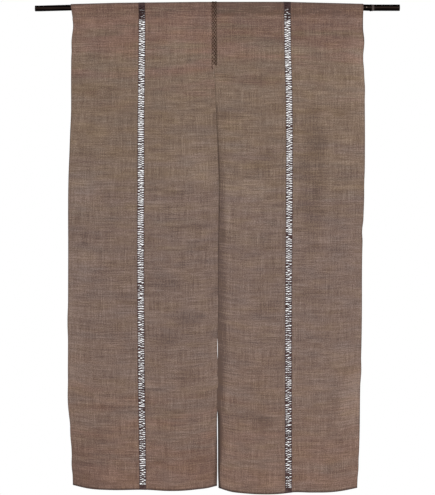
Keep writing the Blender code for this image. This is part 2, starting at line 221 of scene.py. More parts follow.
class Nodes:
    """A node tree being put together, of a material or of a modifier."""

    def __init__(self, tree):
        self.tree = tree

    def add(self, kind, settings=None, sockets=None, output=0):
        node = self.tree.nodes.new(kind)
        for setting, value in (settings or {}).items():
            setattr(node, setting, value)
        for key, value in (sockets or {}).items():
            self.feed(node.inputs[key], value)
        return Signal(self, node.outputs[output])

    def feed(self, socket, value):
        if isinstance(value, Signal):
            self.tree.links.new(value.socket, socket)
        else:
            socket.default_value = value

    def math(self, operation, *values):
        return self.add("ShaderNodeMath", {"operation": operation}, dict(enumerate(values)))

    def combine(self, x, y, z=0.0):
        return self.add("ShaderNodeCombineXYZ", None, {"X": x, "Y": y, "Z": z})

    def noise(self, u, v, w, detail=2, roughness=0.5):
        """Clouds of values about a half, each about one unit of u, v and w across."""
        sockets = {"Vector": self.combine(u, v, w), "Detail": detail, "Roughness": roughness}
        return self.add("ShaderNodeTexNoise", None, {**sockets, "Scale": 1.0})

    def parts(self, vector):
        found = self.add("ShaderNodeSeparateXYZ", None, {"Vector": vector})
        return found.output("X"), found.output("Y"), found.output("Z")

    def ramp(self, value, low, high, change="LINEAR"):
        """0 below low and 1 above high, with an even change between them."""
        sockets = {"Value": value, "From Min": low, "From Max": high}
        return self.add("ShaderNodeMapRange", {"interpolation_type": change}, sockets)

    def ease(self, value, low, high):
        """0 below low and 1 above high, with a soft change between them."""
        return self.ramp(value, low, high, "SMOOTHSTEP")

    def fade(self, value, low, high):
        """1 below low and 0 above high, with a soft change between them."""
        return 1 - self.ease(value, low, high)

    def mix_values(self, factor, first, second):
        sockets = {0: factor, 2: first, 3: second}
        return self.add("ShaderNodeMix", {"data_type": "FLOAT"}, sockets)


class Finish(Nodes):
    """A material, whose own shader is `shader`."""

    def __init__(self, name, roughness, specular):
        self.material = bpy.data.materials.new(name)
        self.material.use_nodes = True
        super().__init__(self.material.node_tree)
        self.shader = self.tree.nodes["Principled BSDF"]
        self.shader.inputs["Roughness"].default_value = roughness
        self.shader.inputs["Specular IOR Level"].default_value = specular

    def set(self, name, value):
        self.feed(self.shader.inputs[name], value)

    def mix(self, factor, first, second, blend="MIX"):
        sockets = {0: factor, 6: (*first, 1.0) if isinstance(first, tuple) else first}
        sockets[7] = (*second, 1.0) if isinstance(second, tuple) else second
        settings = {"data_type": "RGBA", "blend_type": blend}
        return self.add("ShaderNodeMix", settings, sockets, output=2)

    def bump(self, height, distance, strength=1.0):
        sockets = {"Height": height, "Distance": distance, "Strength": strength}
        self.set("Normal", self.add("ShaderNodeBump", None, sockets))

    def object_place(self):
        return self.parts(self.add("ShaderNodeTexCoord", output="Object"))


LACQUER_BLACK = (0.0010, 0.0006, 0.0005)
LACQUER_BROWN = (0.0042, 0.0024, 0.0018)
LACQUER_PAINTED_HIGHLIGHT = (0.0270, 0.0170, 0.0135)
LACQUER_WORN = (0.085, 0.066, 0.060)
BAMBOO_BARE = (0.240, 0.190, 0.150)
FIBRE_PITCH = 0.0011
FRONT_REACH = 0.004
PAINTED_HIGHLIGHT_HEIGHT = -0.0079
PAINTED_HIGHLIGHT_SLOPE = 0.0017
PAINTED_HIGHLIGHT_UNEVEN = 0.003
PAINTED_HIGHLIGHT_CORE = 0.0006
PAINTED_HIGHLIGHT_HALF_WIDTH = 0.0038
WORN_RING_X = 0.4740
WORN_RING_CORE = 0.001
WORN_RING_HALF_WIDTH = 0.0050
CHIP_X = 0.4543
CHIP_HEIGHT = -0.0066
CHIP_RADIUS = 0.0017
CUT_CORE = 0.0004
CUT_WIDTH = 0.0016


def lacquer_finish():
    """Lacquer over bamboo fibres, with a painted highlight along the front, worn at one ring and
    chipped once.
    """
    finish = Finish("black_brown_lacquer", roughness=0.34, specular=0.03)
    x, y, z = finish.object_place()
    fibres = finish.noise(x * 14, y / FIBRE_PITCH, z / FIBRE_PITCH, detail=3)
    clouds = finish.noise(x * 18, y * 60, z * 60)
    brown = finish.ease(fibres * 0.5 + clouds * 0.5, 0.40, 0.66)
    colour = finish.mix(brown, LACQUER_BLACK, LACQUER_BROWN)
    front = finish.ease(-y, 0.0, FRONT_REACH)
    # Painted highlight: a lighter band along the front of the rod, a little below its middle.
    painted_highlight = abs(z - PAINTED_HIGHLIGHT_HEIGHT - x * PAINTED_HIGHLIGHT_SLOPE + (clouds - 0.5) * PAINTED_HIGHLIGHT_UNEVEN)
    painted_highlight = finish.fade(painted_highlight, PAINTED_HIGHLIGHT_CORE, PAINTED_HIGHLIGHT_HALF_WIDTH) * front
    colour = finish.mix(painted_highlight * (0.55 + 0.6 * fibres), colour, LACQUER_PAINTED_HIGHLIGHT)
    ring_wear = finish.fade(abs(x - WORN_RING_X), WORN_RING_CORE, WORN_RING_HALF_WIDTH)
    ring_wear = ring_wear * finish.ease(clouds, 0.2, 0.5) * front
    colour = finish.mix(ring_wear, colour, LACQUER_WORN)
    chip_x = (x - CHIP_X) / CHIP_RADIUS
    chip_z = (z - CHIP_HEIGHT) / CHIP_RADIUS
    chip = finish.fade(chip_x * chip_x + chip_z * chip_z, 0.5, 1.2) * front
    colour = finish.mix(chip, colour, BAMBOO_BARE)
    cut = finish.fade(ROD_LENGTH / 2 - abs(x), CUT_CORE, CUT_WIDTH)
    cut = cut * finish.ease(fibres, 0.35, 0.65)
    finish.set("Base Color", finish.mix(cut, colour, LACQUER_WORN))
    finish.set("Roughness", 0.24 + 0.20 * clouds + 0.15 * ring_wear)
    finish.bump(fibres + 0.4 * clouds, distance=0.00012, strength=0.2)
    return finish.material


rod_rings = bore_rings(-ROD_LENGTH / 2)
rod_rings += [ring_of_points(x, radius, swell) for x, radius, swell in rod_stations()]
rod_rings += bore_rings(ROD_LENGTH / 2)[::-1]
rod = new_piece("bamboo_rod", lofted_mesh("bamboo_rod", rod_rings), lacquer_finish())
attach(rod, "root")
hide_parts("rod")


# Panels: two lengths of plain-woven hemp, hung side by side. The top of each is turned over to the
# back and sewn down as the rod's pocket, the bottom is hemmed, and the sides are woven edges.

CLOTH_WIDTH = 0.455
CLOTH_THICKNESS = 0.0008
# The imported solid's cloth is a little thicker. The middle of both lies the same way off the rod.
SOLID_THICKNESS = 0.0010
FULL_DROP = 1.488
LAYER_SPACING = 0.0015
TOUCH_GAP = 0.0004
POCKET_DEPTH = 0.035
FRONT_LENGTH = FULL_DROP - POCKET_DEPTH
SEAM_ALLOWANCE = 0.010
HEM_DEPTH = 0.015
STRAIGHT_SHARE = 0.25
STRIP_EVEN_WIDTH = 0.016
STRIP_WIDTH = 0.0190
WAVE_DEPTH = 0.0030
WAVE_LENGTH = 0.230
WAVE_DRIFT = 0.18
WAVE_FROM = 0.15
WAVE_FULL = 0.75
HEADING_FLAT_TO = 0.12
CREASES_FROM = 0.012
NORMAL_STEP = 0.002
PUCKER_DEPTH = 0.0007
PUCKER_LENGTH = 0.034
PUCKER_HEIGHT = 0.011

COLUMN_WIDTH = 0.0058
EDGE_COLUMN = 0.0006
FRONT_ROWS = 236
ARC_ROWS = 22
STRAIGHT_ROWS = 7
FOLD_ROWS = 6
HEM_ROWS = 3
# Rows of the seam allowance behind, and the row next to the hem's free edge, as in hang() below.
ALLOWANCE_ROWS = (-2.0, -1.94, -1.5)
HEM_EDGE_ROW = 2.96

# Each level gives the places of the cloth's edges and strip, how far back each edge curls, and how
# far back the whole panel leans.
Level = namedtuple("Level", "drop left strip right back_left back_right lean")
LEFT_LEVELS = (
    Level(0.000, -0.4467, -0.2299, -0.0091, 0.000, 0.000, 0.000),
    Level(0.050, -0.4403, -0.2299, -0.0091, 0.000, 0.000, 0.000),
    Level(0.160, -0.4458, -0.2305, -0.0091, 0.001, 0.000, 0.000),
    Level(0.210, -0.4464, -0.2312, -0.0088, 0.002, -0.001, 0.000),
    Level(0.330, -0.4466, -0.2328, -0.0043, 0.003, -0.002, 0.000),
    Level(0.535, -0.4550, -0.2333, 0.0036, 0.006, -0.004, 0.000),
    Level(0.780, -0.4562, -0.2342, 0.0018, 0.009, -0.004, 0.002),
    Level(0.980, -0.4570, -0.2332, 0.0016, 0.010, -0.003, 0.003),
    Level(1.045, -0.4570, -0.2328, -0.0002, 0.010, -0.002, 0.003),
    Level(1.180, -0.4562, -0.2316, 0.0024, 0.008, 0.000, 0.002),
    Level(1.235, -0.4532, -0.2306, 0.0015, 0.008, 0.002, 0.002),
    Level(1.262, -0.4518, -0.2302, -0.0003, 0.008, 0.003, 0.002),
    Level(1.370, -0.4466, -0.2287, -0.0007, 0.014, 0.003, 0.004),
    Level(1.445, -0.4441, -0.2281, -0.0006, 0.021, 0.003, 0.006),
    Level(FULL_DROP, -0.4432, -0.2279, -0.0013, 0.024, 0.003, 0.007),
)
RIGHT_LEVELS = (
    Level(0.000, -0.0091, 0.2128, 0.4446, 0.000, 0.000, 0.000),
    Level(0.050, -0.0091, 0.2135, 0.4441, 0.000, 0.001, 0.000),
    Level(0.120, -0.0096, 0.2144, 0.4455, 0.001, 0.004, 0.000),
    Level(0.160, -0.0097, 0.2150, 0.4463, 0.001, 0.006, 0.000),
    Level(0.210, -0.0097, 0.2168, 0.4485, 0.001, 0.008, 0.000),
    Level(0.330, -0.0078, 0.2190, 0.4505, 0.003, 0.010, 0.000),
    Level(0.535, -0.0055, 0.2192, 0.4498, 0.004, 0.010, 0.001),
    Level(0.780, -0.0040, 0.2178, 0.4420, 0.004, 0.007, 0.003),
    Level(0.980, -0.0018, 0.2166, 0.4414, 0.005, 0.012, 0.003),
    Level(1.045, 0.0009, 0.2165, 0.4404, 0.005, 0.015, 0.002),
    Level(1.180, -0.0012, 0.2165, 0.4368, 0.006, 0.018, 0.002),
    Level(1.235, -0.0004, 0.2165, 0.4360, 0.006, 0.018, 0.002),
    Level(1.262, 0.0006, 0.2165, 0.4358, 0.006, 0.018, 0.001),
    Level(1.370, 0.0016, 0.2165, 0.4328, 0.005, 0.012, -0.003),
    Level(1.445, 0.0019, 0.2165, 0.4280, 0.005, 0.008, -0.007),
    Level(FULL_DROP, 0.0034, 0.2165, 0.4258, 0.006, 0.006, -0.009),
)
# The bottom edge, as the drop at each place along X.
LEFT_HEM_X = (-0.441, -0.394, -0.320, -0.211, -0.156, -0.100, -0.065, -0.029, -0.003)
LEFT_HEM_DROP = (1.4656, 1.4730, 1.4774, 1.4774, 1.4800, 1.4790, 1.4760, 1.4717, 1.4653)
RIGHT_HEM_X = (0.003, 0.044, 0.081, 0.136, 0.200, 0.228, 0.290, 0.337, 0.374, 0.410, 0.426)
RIGHT_HEM_DROP = (
    1.4690, 1.4810, 1.4857, 1.4885, 1.4855, 1.4820, 1.4833, 1.4825, 1.4785, 1.4720, 1.4690
)
Panel = namedtuple(
    "Panel",
    "name levels hem_x hem_drop strip curl_left curl_right wave_phase "
    "pocket_shade reddening slit_line filling",
)
PANELS = (
    Panel(
        name="panel_left",
        levels=LEFT_LEVELS,
        hem_x=LEFT_HEM_X,
        hem_drop=LEFT_HEM_DROP,
        strip=0.213,
        curl_left=0.070,
        curl_right=0.030,
        wave_phase=0.10,
        pocket_shade=0.16,
        reddening=0.80,
        slit_line=0.0026,
        filling=0.50,
    ),
    Panel(
        name="panel_right",
        levels=RIGHT_LEVELS,
        hem_x=RIGHT_HEM_X,
        hem_drop=RIGHT_HEM_DROP,
        strip=0.226,
        curl_left=0.046,
        curl_right=0.085,
        wave_phase=0.55,
        pocket_shade=0.34,
        reddening=0.60,
        slit_line=0.0115,
        filling=0.60,
    ),
)
# How far a woven edge swells out, or draws in, at each drop. Its name is the level's column.
Ripple = namedtuple("Ripple", "panel column drop length out")
RIPPLES = (
    Ripple("panel_left", "left", 0.098, 0.090, 0.0034),
    Ripple("panel_left", "left", 0.390, 0.160, 0.0010),
    Ripple("panel_left", "left", 0.975, 0.120, 0.0016),
    Ripple("panel_left", "left", 1.232, 0.150, 0.0036),
    Ripple("panel_left", "left", 1.330, 0.080, 0.0014),
    Ripple("panel_left", "left", 1.425, 0.070, 0.0020),
    Ripple("panel_right", "right", 0.103, 0.080, 0.0032),
    Ripple("panel_right", "right", 0.160, 0.060, -0.0012),
    Ripple("panel_right", "right", 0.250, 0.080, 0.0012),
    Ripple("panel_right", "right", 0.545, 0.100, -0.0010),
    Ripple("panel_right", "right", 0.692, 0.070, -0.0026),
    Ripple("panel_right", "right", 1.130, 0.090, 0.0020),
    Ripple("panel_right", "right", 1.430, 0.060, 0.0012),
)
# A crease is a soft ridge, or a trough where its rise is below nought. Turn is in degrees.
Crease = namedtuple("Crease", "panel x drop length turn width rise")
CREASES = (
    Crease("panel_left", -0.408, 0.049, 0.034, 8, 0.0090, 0.0016),
    Crease("panel_left", -0.436, 0.052, 0.030, 80, 0.0030, -0.0010),
    Crease("panel_left", -0.175, 0.043, 0.080, -3, 0.0022, 0.0007),
    Crease("panel_left", -0.150, 0.053, 0.060, 4, 0.0024, -0.0005),
    Crease("panel_left", -0.120, 0.047, 0.050, 6, 0.0020, 0.0005),
    Crease("panel_left", -0.300, 0.044, 0.070, 1, 0.0025, 0.0005),
    Crease("panel_left", -0.040, 0.075, 0.060, 12, 0.0035, 0.0006),
    Crease("panel_right", 0.032, 0.041, 0.046, -26, 0.0022, 0.0015),
    Crease("panel_right", 0.028, 0.048, 0.036, -30, 0.0020, -0.0013),
    Crease("panel_right", 0.020, 0.054, 0.030, -34, 0.0018, 0.0011),
    Crease("panel_right", 0.130, 0.046, 0.070, 2, 0.0024, 0.0005),
    Crease("panel_right", 0.270, 0.045, 0.070, -4, 0.0024, 0.0006),
    Crease("panel_right", 0.400, 0.060, 0.060, 82, 0.0060, 0.0009),
    Crease("panel_right", 0.330, 1.290, 0.150, 6, 0.0060, 0.0010),
    Crease("panel_right", 0.395, 1.420, 0.050, 8, 0.0040, -0.0008),
    Crease("panel_left", -0.395, 1.440, 0.070, -6, 0.0050, 0.0009),
)


def smooth_step(low, high, at):
    t = np.clip((at - low) / (high - low), 0, 1)
    return t * t * (3 - 2 * t)


def smooth_values(stations, values, at):
    """The values at these places, on a cubic that passes through the given ones."""
    stations = np.array(stations)
    values = np.array(values)
    at = np.clip(at, stations[0], stations[-1])
    i = np.clip(np.searchsorted(stations, at, side="right") - 1, 0, len(stations) - 2)
    span = stations[i + 1] - stations[i]
    t = (at - stations[i]) / span
    slopes = np.gradient(values, stations)
    start = (1 + 2 * t) * (1 - t) ** 2 * values[i] + t * (1 - t) ** 2 * span * slopes[i]
    return start + t**2 * (3 - 2 * t) * values[i + 1] + t**2 * (t - 1) * span * slopes[i + 1]


def pocket_section(x):
    """The radius of the cloth round the rod, and where it leaves the rod for the line of sewing."""
    radius = rod_radius(x) + RING_HIDDEN + TOUCH_GAP + SOLID_THICKNESS / 2
    reach = math.hypot(LAYER_SPACING / 2, POCKET_DEPTH)
    leaning = math.atan2(LAYER_SPACING / 2, POCKET_DEPTH)
    return radius, reach, np.arccos(radius / reach) + leaning


def pocket_place(x, share, outward=0.0):
    """Y and Z on the pocket: share 0 is at the front's sewing, 0.5 over the rod, 1 at the back."""
    radius, _, leaving = pocket_section(x)
    near = np.minimum(share, 1 - share)
    down = np.clip(near / STRAIGHT_SHARE, 0, 1)
    over = np.clip((near - STRAIGHT_SHARE) / (0.5 - STRAIGHT_SHARE), 0, 1)
    turn = leaving + (np.pi - leaving) * over
    y = -np.sin(turn) * (radius + outward)
    z = -np.cos(turn) * (radius + outward)
    y = (1 - down) * (-LAYER_SPACING / 2 - outward * np.sin(leaving)) + down * y
    z = (1 - down) * (-POCKET_DEPTH - outward * np.cos(leaving)) + down * z
    return np.where(share <= 0.5, y, -y), rod_height(x) + z


def level_values(panel, column, drop):
    stations = [level.drop for level in panel.levels]
    values = smooth_values(stations, [getattr(level, column) for level in panel.levels], drop)
    for ripple in RIPPLES:
        if (ripple.panel, ripple.column) == (panel.name, column):
            outward = ripple.out if column == "right" else -ripple.out
            nearness = np.clip(1 - (2 * (drop - ripple.drop) / ripple.length) ** 2, 0, 1)
            values = values + outward * nearness**2
    return values


def place_across(panel, across, drop):
    """The X of points of the flat cloth, from their distance across and their drop."""
    left_flat = panel.strip - STRIP_EVEN_WIDTH / 2
    right_flat = panel.strip + STRIP_EVEN_WIDTH / 2
    left = level_values(panel, "left", drop)
    strip = level_values(panel, "strip", drop)
    right = level_values(panel, "right", drop)
    left_share = np.clip(across / left_flat, 0, 1)
    right_share = np.clip((across - right_flat) / (CLOTH_WIDTH - right_flat), 0, 1)
    middle = strip + np.clip(across, left_flat, right_flat) - panel.strip
    x = middle + (left - strip + STRIP_EVEN_WIDTH / 2) * (1 - left_share)
    return x + (right - strip - STRIP_EVEN_WIDTH / 2) * right_share


def crease_depth(panel, x, drop):
    depth = np.zeros_like(x * drop)
    for crease in CREASES:
        if crease.panel != panel.name:
            continue
        turn = math.radians(crease.turn)
        along = (x - crease.x) * math.cos(turn) - (drop - crease.drop) * math.sin(turn)
        aside = (x - crease.x) * math.sin(turn) + (drop - crease.drop) * math.cos(turn)
        fading = np.clip(1 - (2 * along / crease.length) ** 2, 0, 1) ** 2
        depth -= crease.rise * fading * np.exp(-((aside / crease.width) ** 2))
    return depth


def pucker_depth(panel, x, drop):
    """Small puckers of hand-woven cloth, longer across than down. They bend one another, so that
    none repeats."""
    seed = 4.7 * panel.wave_phase
    u = x / PUCKER_LENGTH
    v = drop / PUCKER_HEIGHT
    waves = np.sin(u + 1.7 * np.sin(0.31 * v + seed)) * np.sin(v + 1.3 * np.sin(0.7 * u + seed))
    waves = waves + 0.6 * np.sin(1.9 * u - 0.8 * v + seed) * np.sin(0.37 * v + 0.5 * u)
    return PUCKER_DEPTH / 2 * waves


def depth_back(panel, across, drop):
    """How far the front layer lies behind its flat place: curled edges, a lean and soft waves."""
    from_left = np.clip(1 - across / panel.curl_left, 0, 1)
    from_right = np.clip(1 - (CLOTH_WIDTH - across) / panel.curl_right, 0, 1)
    depth = level_values(panel, "back_left", drop) * from_left**2
    depth = depth + level_values(panel, "back_right", drop) * from_right**2
    depth = depth + level_values(panel, "lean", drop)
    turn = across / WAVE_LENGTH + panel.wave_phase + WAVE_DRIFT * drop
    depth = depth + smooth_step(WAVE_FROM, WAVE_FULL, drop) * WAVE_DEPTH * np.sin(2 * np.pi * turn)
    return depth * smooth_step(POCKET_DEPTH, HEADING_FLAT_TO, drop)


def front_points(panel, across, share):
    """Points of the front layer: share 0 is at the pocket's sewing and 1 at the bottom edge."""
    x = place_across(panel, across, POCKET_DEPTH + share * FRONT_LENGTH)
    top = POCKET_DEPTH - rod_height(x)
    hem = smooth_values(panel.hem_x, panel.hem_drop, x)
    drop = top + share * (hem - top)
    small = crease_depth(panel, x, drop) + pucker_depth(panel, x, drop)
    small = small * smooth_step(POCKET_DEPTH, POCKET_DEPTH + CREASES_FROM, drop)
    y = depth_back(panel, across, drop) + small - LAYER_SPACING / 2
    return np.stack(np.broadcast_arrays(x, y, -drop), axis=-1)


def behind(panel, across, share, distance):
    """Points that lie behind the front layer by a distance, square to the cloth."""
    aside = front_points(panel, np.minimum(across + NORMAL_STEP, CLOTH_WIDTH), share)
    aside = aside - front_points(panel, np.maximum(across - NORMAL_STEP, 0), share)
    up = front_points(panel, across, share - NORMAL_STEP) - front_points(panel, across, share)
    back = np.cross(up, aside)
    back /= np.linalg.norm(back, axis=-1, keepdims=True)
    return front_points(panel, across, share) + back * distance[..., None]


def hang(panel, across, along):
    """Where points of the flat cloth hang. Along -2 to -1 is the seam allowance behind, -1 to 0 the
    rod pocket, 0 to 1 the front, 1 to 2 the turn at the hem and 2 to 3 the hem behind."""
    across, along = np.broadcast_arrays(np.asarray(across, float), np.asarray(along, float))
    top_x = place_across(panel, across, 0.0)
    share = np.clip(-along, 0, 1)
    _, height = pocket_place(top_x, share)
    x = place_across(panel, across, -height)
    y, z = pocket_place(x, share)
    pocket = np.stack([x, y, z], axis=-1)
    turn = np.clip(along - 1, 0, 1) * np.pi
    up_behind = np.clip(along - 2, 0, 1) * HEM_DEPTH
    front_share = np.clip(along, 0, 1) - up_behind / FRONT_LENGTH
    front_share = front_share + np.clip(-1 - along, 0, 1) * SEAM_ALLOWANCE / FRONT_LENGTH
    back = np.where(along < -1, LAYER_SPACING, LAYER_SPACING / 2 * (1 - np.cos(turn)))
    cloth = behind(panel, across, front_share, back)
    cloth[..., 2] -= LAYER_SPACING / 2 * np.sin(turn)
    in_pocket = (along >= -1) & (along < 0)
    return np.where(in_pocket[..., None], pocket, cloth)


def cloth_rows():
    """The rows of a panel's grid, from the seam allowance behind to the top of the hem."""
    straight = np.linspace(0, STRAIGHT_SHARE, STRAIGHT_ROWS, endpoint=False)
    arc = np.linspace(STRAIGHT_SHARE, 1 - STRAIGHT_SHARE, ARC_ROWS)
    up = -1 + straight
    down = -STRAIGHT_SHARE + straight
    front = np.linspace(0, 1, FRONT_ROWS)
    turn = 1 + np.arange(1, FOLD_ROWS + 1) / FOLD_ROWS
    hem = 2 + np.linspace(0, 1, HEM_ROWS + 1)[1:]
    hem = [*hem[:-1], HEM_EDGE_ROW, hem[-1]]
    return np.concatenate([ALLOWANCE_ROWS, up, arc - 1, down, front, turn, hem])


def pocket_length():
    radius, reach, leaving = pocket_section(0.0)
    return 2 * math.sqrt(reach**2 - radius**2) + 2 * (math.pi - float(leaving)) * radius


def flat_distance(along):
    """How far along the flat cloth a row lies, from the sewing at the front's top."""
    places = [-2, -1, 0, 1, 2, 3]
    turn_length = LAYER_SPACING * math.pi / 2
    lengths = [-pocket_length() - SEAM_ALLOWANCE, -pocket_length(), 0.0, FRONT_LENGTH]
    lengths += [FRONT_LENGTH + turn_length, FRONT_LENGTH + turn_length + HEM_DEPTH]
    return np.interp(along, places, lengths)


def side_columns(start, end):
    """Columns between two edges of the cloth, with a narrow one at each edge."""
    count = round((end - start) / COLUMN_WIDTH)
    inner = np.linspace(start, end, count + 1)
    return np.concatenate([[start, start + EDGE_COLUMN], inner[1:-1], [end - EDGE_COLUMN, end]])


def sheet_mesh(name, panel, sides, rows):
    """A grid of the hung cloth for each run of columns, with the flat cloth as its UV map."""
    points, faces, flat = [], [], []
    for columns in sides:
        first = sum(len(part) for part in points)
        across, along = np.meshgrid(columns, rows)
        points.append(hang(panel, across, along).reshape(-1, 3))
        flat.append(np.stack([across.ravel(), flat_distance(along).ravel()], axis=1))
        width = len(columns)
        for row in range(len(rows) - 1):
            start = first + row * width + np.arange(width - 1)
            faces.append(np.stack([start, start + 1, start + width + 1, start + width], axis=1))
    points, faces, flat = np.concatenate(points), np.concatenate(faces), np.concatenate(flat)
    mesh = bpy.data.meshes.new(name)
    mesh.from_pydata(points.tolist(), [], faces.tolist())
    uv_map = mesh.uv_layers.new(name="cloth")
    uv_map.data.foreach_set("uv", flat[faces.ravel()].ravel())
    mesh.shade_smooth()
    return mesh


def plain_copy(piece, name):
    """The piece with its modifiers applied, as a new piece, and the old one is removed."""
    graph = bpy.context.evaluated_depsgraph_get()
    mesh = bpy.data.meshes.new_from_object(piece.evaluated_get(graph))
    bpy.data.objects.remove(piece)
    mesh.name = name
    return new_piece(name, mesh)


WARP_PITCH = 0.00105
WEFT_PITCH = 0.00092
THREAD_ROUNDNESS = 0.6
PICK_SHORTNESS = 330
HEMP_DARK = (0.124, 0.076, 0.058)
HEMP_MIDDLE = (0.213, 0.138, 0.106)
HEMP_LIGHT = (0.340, 0.240, 0.190)
HEMP_RIM_SHADE = (0.016, 0.009, 0.007)
HUE_BLUE = (0.93, 0.96, 1.00)
HUE_YELLOW = (1.00, 0.99, 0.92)
DYED_RED = (1.00, 0.88, 0.86)
DYED_OLIVE = (0.96, 1.00, 0.94)
DYED_COOL = (0.93, 0.96, 1.00)

# Soft darker or lighter places, by their middle in the flat cloth and their half sizes. Some are
# uneven tone in the cloth; the rows marked below are painted light and painted shade.
StainAndPaintedLight = namedtuple("StainAndPaintedLight", "across along half_width half_length tone")
LEFT_STAINS_AND_PAINTED_LIGHT = (
    # Painted shade: this row and the next darken the lower corners, where the cloth turns back.
    StainAndPaintedLight(0.030, 1.420, 0.090, 0.120, -0.160),
    StainAndPaintedLight(0.430, 1.420, 0.060, 0.100, -0.060),
    # Painted light: lightens the inner edge low down, against the shadow of the right panel's edge.
    StainAndPaintedLight(0.452, 1.410, 0.018, 0.090, 0.220),
    StainAndPaintedLight(0.050, 0.015, 0.024, 0.016, 0.260),
    # Painted light: lightens the cloth under the lacing, against the lacing's shade.
    StainAndPaintedLight(0.455, 0.070, 0.010, 0.130, 0.340),
    # Painted light: the outer edge is lighter where it curls back towards the light.
    StainAndPaintedLight(0.006, 0.980, 0.050, 0.300, 0.140),
    StainAndPaintedLight(0.370, 0.643, 0.100, 0.010, -0.240),
    StainAndPaintedLight(0.060, 0.674, 0.060, 0.010, -0.160),
    StainAndPaintedLight(0.290, 0.815, 0.120, 0.024, -0.140),
    StainAndPaintedLight(0.120, 1.198, 0.130, 0.008, -0.220),
    StainAndPaintedLight(0.380, 0.406, 0.090, 0.070, 0.120),
    StainAndPaintedLight(0.405, 0.497, 0.050, 0.050, 0.200),
    StainAndPaintedLight(0.045, 0.537, 0.050, 0.080, 0.200),
    StainAndPaintedLight(0.050, 0.759, 0.050, 0.060, 0.170),
    StainAndPaintedLight(0.178, 0.866, 0.050, 0.030, -0.170),
    StainAndPaintedLight(0.334, 0.085, 0.060, 0.040, 0.150),
    # Painted shade: darkens the lower outer part, where the cloth turns down.
    StainAndPaintedLight(0.066, 1.290, 0.050, 0.040, -0.150),
    StainAndPaintedLight(0.372, 0.927, 0.060, 0.030, -0.180),
    StainAndPaintedLight(0.292, 0.994, 0.060, 0.030, -0.180),
    StainAndPaintedLight(0.362, 1.107, 0.060, 0.035, -0.200),
)
RIGHT_STAINS_AND_PAINTED_LIGHT = (
    # Painted light: lightens the cloth under the lacing, against the lacing's shade.
    StainAndPaintedLight(0.000, 0.070, 0.010, 0.130, 0.340),
    StainAndPaintedLight(0.230, 0.030, 0.450, 0.060, -0.190),
    # Painted shade: this row darkens the inner edge beside the slit, in the shade of the left
    # panel's edge.
    StainAndPaintedLight(0.000, 0.830, 0.038, 0.640, -0.500),
    StainAndPaintedLight(0.037, 0.570, 0.014, 0.130, 0.150),
    # Painted shade: this row and the next two darken the inner edge beside the slit lower down.
    StainAndPaintedLight(0.000, 1.120, 0.022, 0.110, -0.600),
    StainAndPaintedLight(0.000, 1.290, 0.018, 0.130, -1.000),
    StainAndPaintedLight(0.000, 1.400, 0.008, 0.070, -0.500),
    StainAndPaintedLight(0.448, 0.100, 0.050, 0.230, 0.130),
    StainAndPaintedLight(0.455, 0.040, 0.006, 0.065, -0.500),
    # Painted light: the outer edge is lighter where it curls back towards the light.
    StainAndPaintedLight(0.430, 1.180, 0.060, 0.110, 0.240),
    StainAndPaintedLight(0.055, 0.305, 0.060, 0.007, -0.220),
    StainAndPaintedLight(0.120, 0.710, 0.110, 0.008, -0.150),
    StainAndPaintedLight(0.340, 0.710, 0.090, 0.012, -0.170),
    StainAndPaintedLight(0.340, 0.903, 0.090, 0.008, -0.150),
    StainAndPaintedLight(0.110, 1.223, 0.110, 0.010, -0.240),
    StainAndPaintedLight(0.135, 1.232, 0.012, 0.012, -0.200),
    StainAndPaintedLight(0.110, 0.540, 0.090, 0.060, 0.110),
    StainAndPaintedLight(0.128, 0.195, 0.110, 0.024, -0.260),
    StainAndPaintedLight(0.298, 0.480, 0.050, 0.310, -0.210),
    StainAndPaintedLight(0.155, 0.445, 0.050, 0.050, -0.160),
    StainAndPaintedLight(0.392, 1.046, 0.050, 0.040, 0.160),
    StainAndPaintedLight(0.142, 1.241, 0.050, 0.030, -0.170),
    StainAndPaintedLight(0.295, 0.845, 0.060, 0.030, -0.200),
    StainAndPaintedLight(0.155, 0.896, 0.060, 0.030, -0.180),
    # Painted light: the bottom is lighter where the cloth turns forward.
    StainAndPaintedLight(0.220, 1.420, 0.300, 0.080, 0.050),
)


